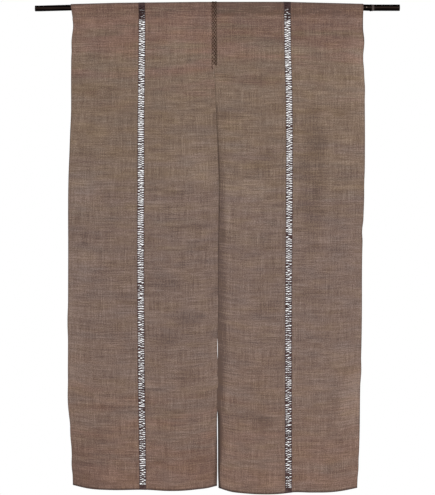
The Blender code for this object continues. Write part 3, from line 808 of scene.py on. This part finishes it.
def hemp_finish(panel, stains_and_painted_light):
    """Plain weave in the flat cloth's metres. Every thread has its own tone and its own slubs."""
    finish = Finish("hemp_" + panel.name, roughness=0.86, specular=0.18)
    finish.shader.inputs["Sheen Weight"].default_value = 0.10
    finish.shader.inputs["Sheen Roughness"].default_value = 0.6
    across, along, _ = finish.parts(finish.add("ShaderNodeUVMap", {"uv_map": "cloth"}))
    seed = 11.0 + 40.0 * panel.wave_phase

    warp_count = across / WARP_PITCH
    weft_count = along / WEFT_PITCH
    warp_thread = finish.math("FLOOR", warp_count)
    weft_thread = finish.math("FLOOR", weft_count)
    warp_round = finish.math("SINE", warp_count * math.pi)
    weft_round = finish.math("SINE", weft_count * math.pi)
    crossing = warp_round * weft_round
    warp_over = finish.ease(crossing, -0.35, 0.35)
    warp_height = abs(warp_round) ** THREAD_ROUNDNESS
    weft_height = abs(weft_round) ** THREAD_ROUNDNESS

    # Each of these noises is a kind of unevenness, from single threads to broad patches.
    weft_line = weft_thread * WEFT_PITCH * PICK_SHORTNESS
    warp_line = warp_thread * WARP_PITCH * PICK_SHORTNESS
    weft_slub = finish.noise(across * 9, weft_thread * 7.31, seed)
    warp_slub = finish.noise(warp_thread * 5.17, along * 7, seed)
    picks = finish.noise(across * 14, weft_line, seed, roughness=0.7)
    ends = finish.noise(warp_line, along * 14, seed, roughness=0.7)
    flecks = finish.noise(across * 300, weft_line, seed, detail=1)
    bars = finish.noise(across * 2.2, along * 70, seed)
    bands = finish.noise(across * 1.2, along * 16, seed, detail=1)
    stripes = finish.noise(across * 60, along * 1.1, seed)
    patches = finish.noise(across * 16, along * 20, seed)
    strong = finish.ease(patches, 0.35, 0.65)

    weft_tone = 0.5 + (weft_slub - 0.5) * 0.9 + (picks - 0.5) * (2.4 + 1.8 * strong)
    warp_tone = 0.5 + (warp_slub - 0.5) * 0.5 + (ends - 0.5) * (3.2 - 1.8 * strong)
    tone = finish.mix_values(warp_over, weft_tone, warp_tone)
    tone = tone + (flecks - 0.5) * 1.6 + (bars - 0.5) * 0.34 + (bands - 0.5) * 0.26
    tone = tone + (stripes - 0.5) * 0.16 + (patches - 0.5) * 0.14
    # Each row adds its uneven tone, its painted light or its painted shade.
    for tone_patch in stains_and_painted_light:
        u = (across - tone_patch.across) / tone_patch.half_width
        v = (along - tone_patch.along) / tone_patch.half_length
        tone = tone + finish.fade(u * u + v * v, 0.0, 1.0) * tone_patch.tone

    # Painted shade darkens the outer edge, where it curls back, the bottom fold, the crown of the
    # pocket, where the cloth turns away over the rod, and, low down, the edge at the slit. The same
    # darkening runs along the strip's edges. The pocket is painted darker too, and its sewing
    # paler.
    outer = across if panel.name == "panel_left" else CLOTH_WIDTH - across
    strip_edge = abs(across - panel.strip) - STRIP_WIDTH / 2
    border = finish.math("MINIMUM", outer, strip_edge + 0.0006)
    fold = abs(along - FRONT_LENGTH - 0.001)
    crown = abs(along + pocket_length() / 2)
    inner = CLOTH_WIDTH - outer
    low = finish.ease(along, 1.205, 1.235)
    rim_shade = 0.46 * finish.fade(border, 0.0006, 0.0032)
    rim_shade = rim_shade + 0.58 * finish.fade(fold, 0.0030, 0.0085)
    rim_shade = rim_shade + 0.72 * finish.fade(crown, 0.0045, 0.0100)
    rim_shade = rim_shade + 0.72 * low * finish.fade(inner, panel.slit_line / 4, panel.slit_line)
    pocket = finish.fade(along + (patches - 0.5) * 0.02, -0.012, 0.002)
    tone = tone - panel.pocket_shade * pocket
    tone = tone + 0.14 * finish.fade(abs(along - 0.0012), 0.0006, 0.0026)

    height = finish.mix_values(warp_over, weft_height, warp_height)
    # Painted shade: the low places between the threads are darker.
    tone = tone - 0.35 * (1 - finish.ease(height, 0.15, 0.65))
    shade = finish.mix(finish.ramp(tone, 0.0, 0.5), HEMP_DARK, HEMP_MIDDLE)
    shade = finish.mix(finish.ramp(tone, 0.5, 1.0), shade, HEMP_LIGHT)

    # The cloth is redder at its top and bottom, and goes from olive to a cool grey between them.
    dyed = along + (finish.noise(across * 4, along * 26, seed + 3, detail=3) - 0.5) * 0.9
    red = 1 - finish.ease(dyed, -0.04, 0.22) * finish.fade(dyed, 1.16, 1.48)
    olive = finish.ease(dyed, -0.02, 0.22) * finish.fade(dyed, 0.34, 0.72)
    cool = finish.ease(dyed, 0.30, 0.66) * finish.fade(dyed, 0.90, 1.30)
    hue = finish.noise(across * 9, along * 30, seed + 7, roughness=0.6)
    for share, tint in (
        (red * panel.reddening, DYED_RED),
        (olive, DYED_OLIVE),
        (cool, DYED_COOL),
        (finish.ease(hue, 0.48, 0.70), HUE_BLUE),
        (finish.fade(hue, 0.30, 0.52), HUE_YELLOW),
    ):
        shade = finish.mix(share, shade, tint, "MULTIPLY")
    # The painted rim shade is mixed in here.
    shade = finish.mix(finish.math("MINIMUM", rim_shade, 0.9), shade, HEMP_RIM_SHADE)
    finish.set("Base Color", shade)
    finish.set("Roughness", 0.80 + 0.12 * weft_slub)
    relief = height + (weft_slub - 0.5) * 1.4 + (picks - 0.5) * 1.2
    finish.bump(relief, distance=0.00022, strength=0.65)
    return finish.material


for panel, stains_and_painted_light in zip(PANELS, (LEFT_STAINS_AND_PAINTED_LIGHT, RIGHT_STAINS_AND_PAINTED_LIGHT)):
    sides = [
        side_columns(0.0, panel.strip - STRIP_WIDTH / 2),
        side_columns(panel.strip + STRIP_WIDTH / 2, CLOTH_WIDTH),
    ]
    sheet = new_piece(panel.name + "_sheet", sheet_mesh(panel.name, panel, sides, cloth_rows()))
    thickness = sheet.modifiers.new("thickness", "SOLIDIFY")
    thickness.thickness = CLOTH_THICKNESS
    thickness.offset = 0.0
    cloth = plain_copy(sheet, panel.name + "_cloth")
    cloth.data.set_sharp_from_angle(angle=SHARP_EDGE)
    cloth.data.materials.append(hemp_finish(panel, stains_and_painted_light))
    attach(cloth, "root")
    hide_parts(panel.name)


# Openwork strips: the warp was left out here, so only the dark weft crosses. It is drawn together
# into small uneven bars that tilt and cross, with light between them, and runs on into the cloth.

WEFT_INTO_CLOTH = 0.0016
WEFT_POINTS = 11
WEFT_SIDES = 4
WEFT_JITTER = 0.35
GATHER_PLACES = (-0.25, 0.0, 0.25)
GATHER_REACH = 0.25
BAR_DRIFT = 1.3
BAR_FRAY = 0.4
BAR_UNEVEN = 1.2
BAR_LOOSENED = 0.4
THREAD_DRIFT = 0.06
THREAD_UNEVEN = 1.1
THREAD_FILLED = 0.5
RIBBON_COLUMNS = 5


class Maker(Nodes):
    """A modifier's node tree, whose sizes are named inputs."""

    def __init__(self, name):
        super().__init__(bpy.data.node_groups.new(name, "GeometryNodeTree"))
        kind = "NodeSocketGeometry"
        self.tree.interface.new_socket("Geometry", in_out="OUTPUT", socket_type=kind)
        self.given = self.tree.nodes.new("NodeGroupInput")
        self.end = self.tree.nodes.new("NodeGroupOutput")
        [self.geometry] = self.ask("Geometry", kind=kind)
        [self.material] = self.ask("Material", kind="NodeSocketMaterial")

    def ask(self, *names, kind="NodeSocketFloat"):
        for name in names:
            self.tree.interface.new_socket(name, in_out="INPUT", socket_type=kind)
        return [Signal(self, self.given.outputs[name]) for name in names]

    def random(self, low, high, seed):
        """A value between low and high for each point."""
        index = self.add("GeometryNodeInputIndex")
        sockets = {2: low, 3: high, "ID": index, "Seed": seed}
        return self.add("FunctionNodeRandomValue", None, sockets, output=1)

    def tube(self, path, sides, radius, scale=1.0):
        """A closed tube along a curve. The scale may differ from point to point."""
        profile = {"Resolution": sides, "Radius": radius}
        circle = self.add("GeometryNodeCurvePrimitiveCircle", None, profile)
        sockets = {"Curve": path, "Profile Curve": circle, "Scale": scale, "Fill Caps": True}
        return self.add("GeometryNodeCurveToMesh", None, sockets)

    def vector(self, operation, first, second):
        sockets = {0: first, "Scale" if operation == "SCALE" else 1: second}
        return self.add("ShaderNodeVectorMath", {"operation": operation}, sockets)

    def give(self, geometry):
        whole = self.add("GeometryNodeRealizeInstances", None, {"Geometry": geometry})
        round_faces = self.add("GeometryNodeSetShadeSmooth", None, {"Geometry": whole})
        sockets = {"Geometry": round_faces, "Material": self.material}
        painted = self.add("GeometryNodeSetMaterial", None, sockets)
        self.feed(self.end.inputs["Geometry"], painted)

    def run(self, name, data, values):
        """Runs the tree on a mesh or curve with these inputs, and returns a plain mesh piece."""
        holder = bpy.data.objects.new(name + "_path", data)
        bpy.context.scene.collection.objects.link(holder)
        modifier = holder.modifiers.new("made", "NODES")
        modifier.node_group = self.tree
        for item in self.tree.interface.items_tree:
            if item.in_out == "INPUT" and item.name in values:
                modifier[item.identifier] = values[item.name]
        return plain_copy(holder, name)


def weft_maker():
    """Threads across a ribbon whose UV map is the flat cloth, in metres from the strip's middle."""
    maker = Maker("weft_across_strip")
    threads, seed = maker.ask("Threads", "Seed", kind="NodeSocketInt")
    start, end, width, radius = maker.ask("From", "To", "Width", "Thread Radius")
    pitch, gathering, arching = maker.ask("Bar Pitch", "Gathering", "Arching")
    lift, thickening = maker.ask("Lift", "Thickening")

    index = maker.add("GeometryNodeInputIndex")
    share = (index + 0.5 + maker.random(-WEFT_JITTER, WEFT_JITTER, seed)) / threads
    row = {"Count": threads, "Position": maker.combine(0.0, start + (end - start) * share, index)}
    points = maker.add("GeometryNodePoints", None, row)
    ends = {"Start": (-0.5, 0.0, 0.0), "End": (0.5, 0.0, 0.0)}
    line = maker.add("GeometryNodeCurvePrimitiveLine", None, ends)
    line = maker.add("GeometryNodeResampleCurve", None, {"Curve": line, "Count": WEFT_POINTS})
    laid = maker.add("GeometryNodeInstanceOnPoints", None, {"Points": points, "Instance": line})
    laid = maker.add("GeometryNodeRealizeInstances", None, {"Geometry": laid})

    position = maker.add("GeometryNodeInputPosition")
    aside, along, thread = maker.parts(position)
    shift = seed * 3.7

    def uneven(u, v, own_shift):
        """About -0.5 to 0.5, changing with u and v. Each use has a shift of its own."""
        return maker.noise(u, v, shift + own_shift, detail=0) - 0.5

    # The threads bunch at the middle and on each side of it. Bars that differ there tilt and cross.
    filled = thickening * maker.ease(along, 0.1, 1.3)
    moved = 0.0
    for number, place in enumerate(GATHER_PLACES):
        own = 2.37 * number
        count = along / pitch + uneven(0.41, along / pitch * 0.27, 0.3) * BAR_DRIFT
        count = count + uneven(0.73, along / pitch * 0.23, 5.6 + own) * BAR_DRIFT
        count = count + uneven(own, thread * 0.61, 9.4) * BAR_FRAY
        bar = maker.math("FLOOR", count)
        tightness = gathering * (1 + uneven(own, bar * 1.37, 18.1) * BAR_UNEVEN)
        bunched = (bar + 0.5 - count) * pitch * (tightness * (1 - filled * BAR_LOOSENED))
        bunched = bunched - (uneven(own, bar * 2.13, 12.7) + 0.10 - abs(place) * 0.5) * arching
        near = maker.math("MAXIMUM", 1 - abs(aside - place) / GATHER_REACH, 0.0)
        moved = moved + bunched * near
    moved = moved + uneven(thread * 3.13, aside * 1.7, 15.8) * pitch * THREAD_DRIFT
    free = 1 - aside * aside * 4
    placed = maker.math("MINIMUM", maker.math("MAXIMUM", along + moved, start), end)
    flat = maker.combine(aside * width, placed)
    attribute = {"data_type": "FLOAT_VECTOR"}
    cloth_map = maker.add("GeometryNodeInputNamedAttribute", attribute, {"Name": "cloth"})
    normal = maker.add("GeometryNodeInputNormal")
    found = {"Mesh": maker.geometry, "UV Map": cloth_map, "Sample UV": flat}
    on_cloth = maker.add("GeometryNodeSampleUVSurface", attribute, {**found, "Value": position})
    outward = maker.add("GeometryNodeSampleUVSurface", attribute, {**found, "Value": normal})
    proud = uneven(aside * 1.4, thread * 1.71, 20.6) * lift * free
    lifted = maker.vector("ADD", on_cloth, maker.vector("SCALE", outward, proud))
    thickness = radius * (1 + uneven(aside * 2.0, thread * 2.37, 21.3) * THREAD_UNEVEN)
    thickness = thickness * (1 + filled * THREAD_FILLED)
    laid = maker.add("GeometryNodeSetCurveRadius", None, {"Curve": laid, "Radius": thickness})
    laid = maker.add("GeometryNodeSetPosition", None, {"Geometry": laid, "Position": lifted})
    own_radius = maker.add("GeometryNodeInputRadius")
    maker.give(maker.tube(laid, WEFT_SIDES, radius=1.0, scale=own_radius))
    return maker


def thread_finish(name, dark, middle, light):
    """Loose hemp thread, with its tone changing from thread to thread and along each."""
    finish = Finish(name, roughness=0.82, specular=0.2)
    x, y, z = finish.object_place()
    fine = finish.noise(x * 130, y * 900, z * 1400, roughness=0.6)
    broad = finish.noise(x * 20, y * 60, z * 95)
    tone = 0.5 + (fine - 0.5) * 1.5 + (broad - 0.5) * 0.9
    shade = finish.mix(finish.ease(tone, 0.05, 0.5), dark, middle)
    finish.set("Base Color", finish.mix(finish.ease(tone, 0.5, 0.95), shade, light))
    finish.set("Roughness", 0.74 + 0.2 * broad)
    fibres = finish.noise(x * 2600, y * 900, z * 5200, detail=1)
    finish.bump(fibres, distance=0.00008, strength=0.6)
    return finish.material


WEFT_DARK = (0.022, 0.011, 0.011)
WEFT_MIDDLE = (0.074, 0.041, 0.040)
WEFT_LIGHT = (0.180, 0.118, 0.108)

Run = namedtuple("Run", "name start end threads_per_metre radius gathering arching lift thickening")
OPEN_RUNS = (
    Run("pocket", -0.1150, -0.001, 1250, 0.00052, 0.38, 0.0024, 0.0012, 0.0),
    Run("open", 0.000, 1.4385, 1050, 0.00060, 0.66, 0.0060, 0.0016, 1.0),
    Run("hem_front", 1.4390, 1.4535, 1400, 0.00056, 0.12, 0.0003, 0.0008, 0.0),
    Run("hem", 1.4540, 1.4700, 1400, 0.00056, 0.12, 0.0003, 0.0008, 0.0),
)
BAR_PITCH = 0.0068


def ribbon_mesh(panel):
    """The strip's own stretch of the hung cloth, for its threads to lie on."""
    half = STRIP_WIDTH / 2 + WEFT_INTO_CLOTH
    columns = np.linspace(panel.strip - half, panel.strip + half, RIBBON_COLUMNS)
    mesh = sheet_mesh(panel.name + "_ribbon", panel, [columns], cloth_rows())
    flat = np.zeros(len(mesh.loops) * 2)
    mesh.uv_layers["cloth"].data.foreach_get("uv", flat)
    flat[0::2] -= panel.strip
    mesh.uv_layers["cloth"].data.foreach_set("uv", flat)
    return mesh


def join_pieces(name, parts, material):
    """One piece of several plain meshes that share their material."""
    whole = bmesh.new()
    for part in parts:
        whole.from_mesh(part.data)
    mesh = bpy.data.meshes.new(name)
    for face in whole.faces:
        face.material_index = 0
    whole.to_mesh(mesh)
    whole.free()
    for part in parts:
        bpy.data.objects.remove(part)
    return new_piece(name, mesh, material)


weft = weft_maker()
weft_material = thread_finish("hemp_weft", WEFT_DARK, WEFT_MIDDLE, WEFT_LIGHT)
for number, panel in enumerate(PANELS):
    parts = []
    for run_number, run in enumerate(OPEN_RUNS):
        values = {
            "Threads": round((run.end - run.start) * run.threads_per_metre),
            "From": run.start,
            "To": run.end,
            "Width": STRIP_WIDTH + 2 * WEFT_INTO_CLOTH,
            "Thread Radius": run.radius,
            "Bar Pitch": BAR_PITCH,
            "Gathering": run.gathering,
            "Arching": run.arching,
            "Lift": run.lift,
            "Thickening": run.thickening * panel.filling,
            "Seed": 3 + 10 * number + run_number,
            "Material": weft_material,
        }
        parts.append(weft.run(f"{panel.name}_{run.name}", ribbon_mesh(panel), values))
    strip = join_pieces(panel.name + "_openwork", parts, weft_material)
    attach(strip, "root")


# Sewing: a running stitch of hemp thread closes each rod pocket and holds each hem. The thread
# passes through both layers, so its stitches show in turn on the front and on the back.

STITCH_PITCH = 0.0052
STITCH_LENGTH = 0.0031
STITCH_RADIUS = 0.00034
STITCH_SIDES = 6
STITCH_POINTS = 5
STITCH_SHORTEST = 0.75
STITCH_LONGEST = 1.2
SEAM_STEP = 0.004
SEAM_INSET = 0.0025
POCKET_SEAM_BELOW = 0.0012
HEM_SEAM_ABOVE = 0.0125


def stitch_maker():
    """A short arched stitch at each step along a path that lies on the cloth."""
    maker = Maker("running_stitch")
    pitch, length, radius = maker.ask("Pitch", "Stitch Length", "Thread Radius")
    [seed] = maker.ask("Seed", kind="NodeSocketInt")
    path = maker.add("GeometryNodeMeshToCurve", None, {"Mesh": maker.geometry})
    resample = {"Curve": path, "Length": pitch}
    steps = maker.add("GeometryNodeResampleCurve", {"mode": "LENGTH"}, resample)
    tangent = maker.add("GeometryNodeInputTangent")
    turn = maker.add("FunctionNodeAlignRotationToVector", {"axis": "X"}, {"Vector": tangent})
    size = maker.random(STITCH_SHORTEST, STITCH_LONGEST, seed)
    half = length / 2
    raised = -1.4 * radius
    bend = {
        "Resolution": STITCH_POINTS,
        "Start": maker.combine(-half, 0.0),
        "Start Handle": maker.combine(-0.9 * half, raised),
        "End Handle": maker.combine(0.9 * half, raised),
        "End": maker.combine(half, 0.0),
    }
    arc = maker.add("GeometryNodeCurvePrimitiveBezierSegment", {"mode": "POSITION"}, bend)
    laid = {"Points": steps, "Instance": maker.tube(arc, STITCH_SIDES, radius), "Rotation": turn}
    laid["Scale"] = maker.combine(size, 1.0, 1.0)
    maker.give(maker.add("GeometryNodeInstanceOnPoints", None, laid))
    return maker


def seam_path(panel, share, back, start):
    """A line across the panel, on the front or the back of its layers, as a chain of edges."""
    columns = np.arange(SEAM_INSET + start, CLOTH_WIDTH - SEAM_INSET, SEAM_STEP)
    columns = columns[np.abs(columns - panel.strip) > STRIP_WIDTH / 2 + SEAM_INSET]
    points = behind(panel, columns, np.full(len(columns), share), np.full(len(columns), back))
    edges = []
    for i in range(len(columns) - 1):
        if columns[i + 1] - columns[i] < SEAM_STEP * 1.5:
            edges.append((i, i + 1))
    mesh = bpy.data.meshes.new(panel.name + "_seam")
    mesh.from_pydata(points.tolist(), edges, [])
    return mesh


STITCH_DARK = (0.130, 0.086, 0.066)
STITCH_MIDDLE = (0.205, 0.145, 0.115)
STITCH_LIGHT = (0.270, 0.200, 0.160)

stitches = stitch_maker()
stitch_material = thread_finish("sewing_thread", STITCH_DARK, STITCH_MIDDLE, STITCH_LIGHT)
front_side = -CLOTH_THICKNESS / 2
back_side = LAYER_SPACING + CLOTH_THICKNESS / 2
for number, panel in enumerate(PANELS):
    parts = []
    for share in (POCKET_SEAM_BELOW / FRONT_LENGTH, 1 - HEM_SEAM_ABOVE / FRONT_LENGTH):
        for back, start in ((front_side, 0.0), (back_side, STITCH_PITCH / 2)):
            values = {
                "Pitch": STITCH_PITCH,
                "Stitch Length": STITCH_LENGTH,
                "Thread Radius": STITCH_RADIUS,
                "Seed": 21 + number,
                "Material": stitch_material,
            }
            path = seam_path(panel, share, back, start)
            parts.append(stitches.run(f"{panel.name}_seam_{len(parts)}", path, values))
    sewing = join_pieces(panel.name + "_sewing", parts, stitch_material)
    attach(sewing, "root")

for panel in PANELS:
    float(flat_distance(3) - flat_distance(-2))


# Lacing: four doubled cords of dark twisted thread, laced to and fro across the two inner edges.
# They run from 0.19 m down, up over the rod and down its back, and join the panels at the top.

LACE_CENTRE = -0.0093
LACE_HALF_WIDTH = 0.0083
LACE_PITCH = 0.0117
LACE_DROP = 0.187
STEPS_ACROSS = 4
POINTS_PER_STEP = 7
LACE_PLY_RADIUS = 0.00031
LACE_PLY_SPACING = 0.00028
LACE_PLY_SIDES = 5
LACE_PAIR_SPACING = 0.0010
LACE_PAIR_ACROSS = 0.8
LACE_PAIR_ALONG = 0.6
LACE_TURNS_PER_METRE = 380.0
LACE_WEAVE_LIFT = 0.0004
LACE_LIFT = 0.0009
LACE_EDGE_SHARE = 0.35
LACE_TUCKED_STEPS = 0.3
LACE_UNEVEN = 0.0009
LACE_STARTS = (-1.5, 0.6, 0.1, 1.2)


def lace_maker():
    """Two plies twisted round each other along a path, as in any plied cord."""
    maker = Maker("two_ply_cord")
    radius, spacing, turns = maker.ask("Ply Radius", "Ply Spacing", "Turns per Metre")
    path = maker.add("GeometryNodeMeshToCurve", None, {"Mesh": maker.geometry})
    length = maker.add("GeometryNodeSplineParameter", output="Length")
    tangent = maker.add("GeometryNodeInputTangent")
    normal = maker.add("GeometryNodeInputNormal")
    across = maker.vector("CROSS_PRODUCT", tangent, normal)
    both = maker.add("GeometryNodeJoinGeometry")
    for ply in range(2):
        angle = length * turns * (2 * math.pi) + ply * math.pi
        out = maker.vector("SCALE", normal, maker.math("COSINE", angle) * spacing)
        side = maker.vector("SCALE", across, maker.math("SINE", angle) * spacing)
        moved = {"Geometry": path, "Offset": maker.vector("ADD", out, side)}
        twisted = maker.add("GeometryNodeSetPosition", None, moved)
        maker.feed(both.socket.node.inputs[0], maker.tube(twisted, LACE_PLY_SIDES, radius))
    maker.give(both)
    return maker


def lace_points(run, aside, lift):
    """Points of the lacing, from their way up from the lower end and their place across."""
    x = LACE_CENTRE + aside
    radius, reach, leaving = pocket_section(x)
    straight = np.sqrt(reach**2 - radius**2)
    arc = 2 * (np.pi - leaving) * (radius + LACE_LIFT)
    run = run - (LACE_DROP - POCKET_DEPTH)
    up = STRAIGHT_SHARE * run / straight
    over = STRAIGHT_SHARE + (1 - 2 * STRAIGHT_SHARE) * (run - straight) / arc
    down = 1 - STRAIGHT_SHARE * (2 - (run - arc) / straight)
    share = np.where(run < straight, up, np.where(run < straight + arc, over, down))
    y, z = pocket_place(x, np.clip(share, 0, 1), lift)
    below = run < 0
    y = np.where(below, -LAYER_SPACING / 2 - lift, y)
    z = np.where(below, rod_height(x) + run - POCKET_DEPTH, z)
    return np.stack([x, y, z], axis=1)


def strand_path(name, strand, steps, pair_side):
    """One strand's zigzag. It passes over and under the others in turn, and into each edge."""
    first = LACE_STARTS[strand]
    step = np.linspace(first, steps, round((steps - first) * POINTS_PER_STEP) + 1)
    turn = (step + 2 * strand) % (2 * STEPS_ACROSS)
    crossed = np.where(turn < STEPS_ACROSS, turn, 2 * STEPS_ACROSS - turn) / STEPS_ACROSS * 2 - 1
    rightward = np.where(turn < STEPS_ACROSS, 1.0, -1.0)
    inside = 1 - np.abs(crossed) ** 8
    uneven = np.sin(1.7 * step + 2.9 * strand) + 0.6 * np.sin(3.1 * step + 1.3 * strand)
    apart = pair_side * LACE_PAIR_SPACING / 2
    aside = crossed * LACE_HALF_WIDTH + apart * rightward * LACE_PAIR_ACROSS
    weave = rightward * LACE_WEAVE_LIFT * np.cos(np.pi * step)
    lift = LACE_LIFT * (LACE_EDGE_SHARE + (1 - LACE_EDGE_SHARE) * inside) + weave * inside
    lift = np.where(step < first + LACE_TUCKED_STEPS, -CLOTH_THICKNESS, lift)
    run = step * LACE_PITCH / 2 - apart * LACE_PAIR_ALONG + LACE_UNEVEN * uneven
    points = lace_points(run, aside, lift)
    mesh = bpy.data.meshes.new(name)
    mesh.from_pydata(points.tolist(), [(i, i + 1) for i in range(len(points) - 1)], [])
    return mesh


def lace_steps():
    radius, reach, leaving = pocket_section(LACE_CENTRE)
    arc = 2 * (math.pi - float(leaving)) * (radius + LACE_LIFT)
    length = LACE_DROP - POCKET_DEPTH + 2 * math.sqrt(reach**2 - radius**2) + arc
    return int(length / (LACE_PITCH / 2))


LACE_DARK = (0.009, 0.003, 0.001)
LACE_MIDDLE = (0.041, 0.016, 0.006)
LACE_LIGHT = (0.110, 0.050, 0.025)

cords = lace_maker()
lace_material = thread_finish("dark_lacing", LACE_DARK, LACE_MIDDLE, LACE_LIGHT)
parts = []
for strand in range(len(LACE_STARTS)):
    for pair_side in (-1, 1):
        values = {
            "Ply Radius": LACE_PLY_RADIUS,
            "Ply Spacing": LACE_PLY_SPACING,
            "Turns per Metre": LACE_TURNS_PER_METRE,
            "Material": lace_material,
        }
        name = f"lace_{strand}_{len(parts)}"
        path = strand_path(name, strand, lace_steps(), pair_side)
        parts.append(cords.run(name, path, values))
lacing = join_pieces("herringbone_lacing", parts, lace_material)
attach(lacing, "root")
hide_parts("lacing")


# Room: a plain pale floor below the curtain, soft lamps in front of it and behind, a white
# surround, and the camera square to the cloth at the height of its middle.

FLOOR_DROP = 1.95
FLOOR_RADIUS = 2.3
FLOOR_SIDES = 96
FLOOR_CLOUDS = 3
FLOOR_PALE = (0.78, 0.77, 0.75)
FLOOR_SHADE = (0.70, 0.69, 0.67)
CAMERA_HEIGHT = -0.7379
CAMERA_DISTANCE = 5.0
CAMERA_SIDE = 0.0003
FRAME_HEIGHT = 1.5093
SURROUND_LIGHT = 0.19

floor_shape = bmesh.new()
bmesh.ops.create_circle(floor_shape, cap_ends=True, segments=FLOOR_SIDES, radius=FLOOR_RADIUS)
bmesh.ops.translate(floor_shape, verts=floor_shape.verts, vec=(0, 0, -FLOOR_DROP))
floor_mesh = bpy.data.meshes.new("floor")
floor_shape.to_mesh(floor_mesh)
floor_shape.free()
floor_finish = Finish("pale_floor", roughness=0.7, specular=0.3)
floor_place = [part * FLOOR_CLOUDS for part in floor_finish.object_place()]
floor_noise = floor_finish.noise(*floor_place, detail=5)
floor_finish.set("Base Color", floor_finish.mix(floor_noise, FLOOR_SHADE, FLOOR_PALE))
new_piece("floor", floor_mesh, floor_finish.material)

Lamp = namedtuple("Lamp", "name place size power")
LAMPS = (
    Lamp("lamp_right", (2.5, -2.5, 0.1), 1.5, 91.0),
    Lamp("lamp_left", (-2.9, -2.3, -0.2), 1.5, 62.0),
    Lamp("lamp_back", (0.4, 3.0, 0.6), 2.4, 40.0),
)
AIM = (0.0, 0.0, -0.75)


def aimed(obj, place):
    """Puts a lamp or camera at a place, looking at the middle of the cloth."""
    obj.location = place
    direction = np.array(AIM) - np.array(place)
    level = math.hypot(direction[0], direction[1])
    obj.rotation_euler = (
        math.atan2(level, -direction[2]),
        0.0,
        math.atan2(-direction[0], direction[1]),
    )
    bpy.context.scene.collection.objects.link(obj)


for lamp in LAMPS:
    light = bpy.data.lights.new(lamp.name, "AREA")
    light.size = lamp.size
    light.energy = lamp.power
    aimed(bpy.data.objects.new(lamp.name, light), lamp.place)

world = bpy.data.worlds.new("white_surround")
world.use_nodes = True
bpy.context.scene.world = world
sky = Nodes(world.node_tree)
seen = sky.add("ShaderNodeLightPath", output="Is Camera Ray")
backdrop = world.node_tree.nodes["Background"]
backdrop.inputs["Color"].default_value = (1.0, 1.0, 1.0, 1.0)
sky.feed(backdrop.inputs["Strength"], seen * (1 - SURROUND_LIGHT) + SURROUND_LIGHT)
bpy.context.scene.view_settings.view_transform = "Standard"

camera = bpy.data.cameras.new("camera")
camera.sensor_width = 36.0
camera.lens = camera.sensor_width * CAMERA_DISTANCE / FRAME_HEIGHT
stand = bpy.data.objects.new("camera", camera)
stand.location = (CAMERA_SIDE, -CAMERA_DISTANCE, CAMERA_HEIGHT)
stand.rotation_euler = (math.pi / 2, 0.0, 0.0)
bpy.context.scene.collection.objects.link(stand)
bpy.context.scene.camera = stand
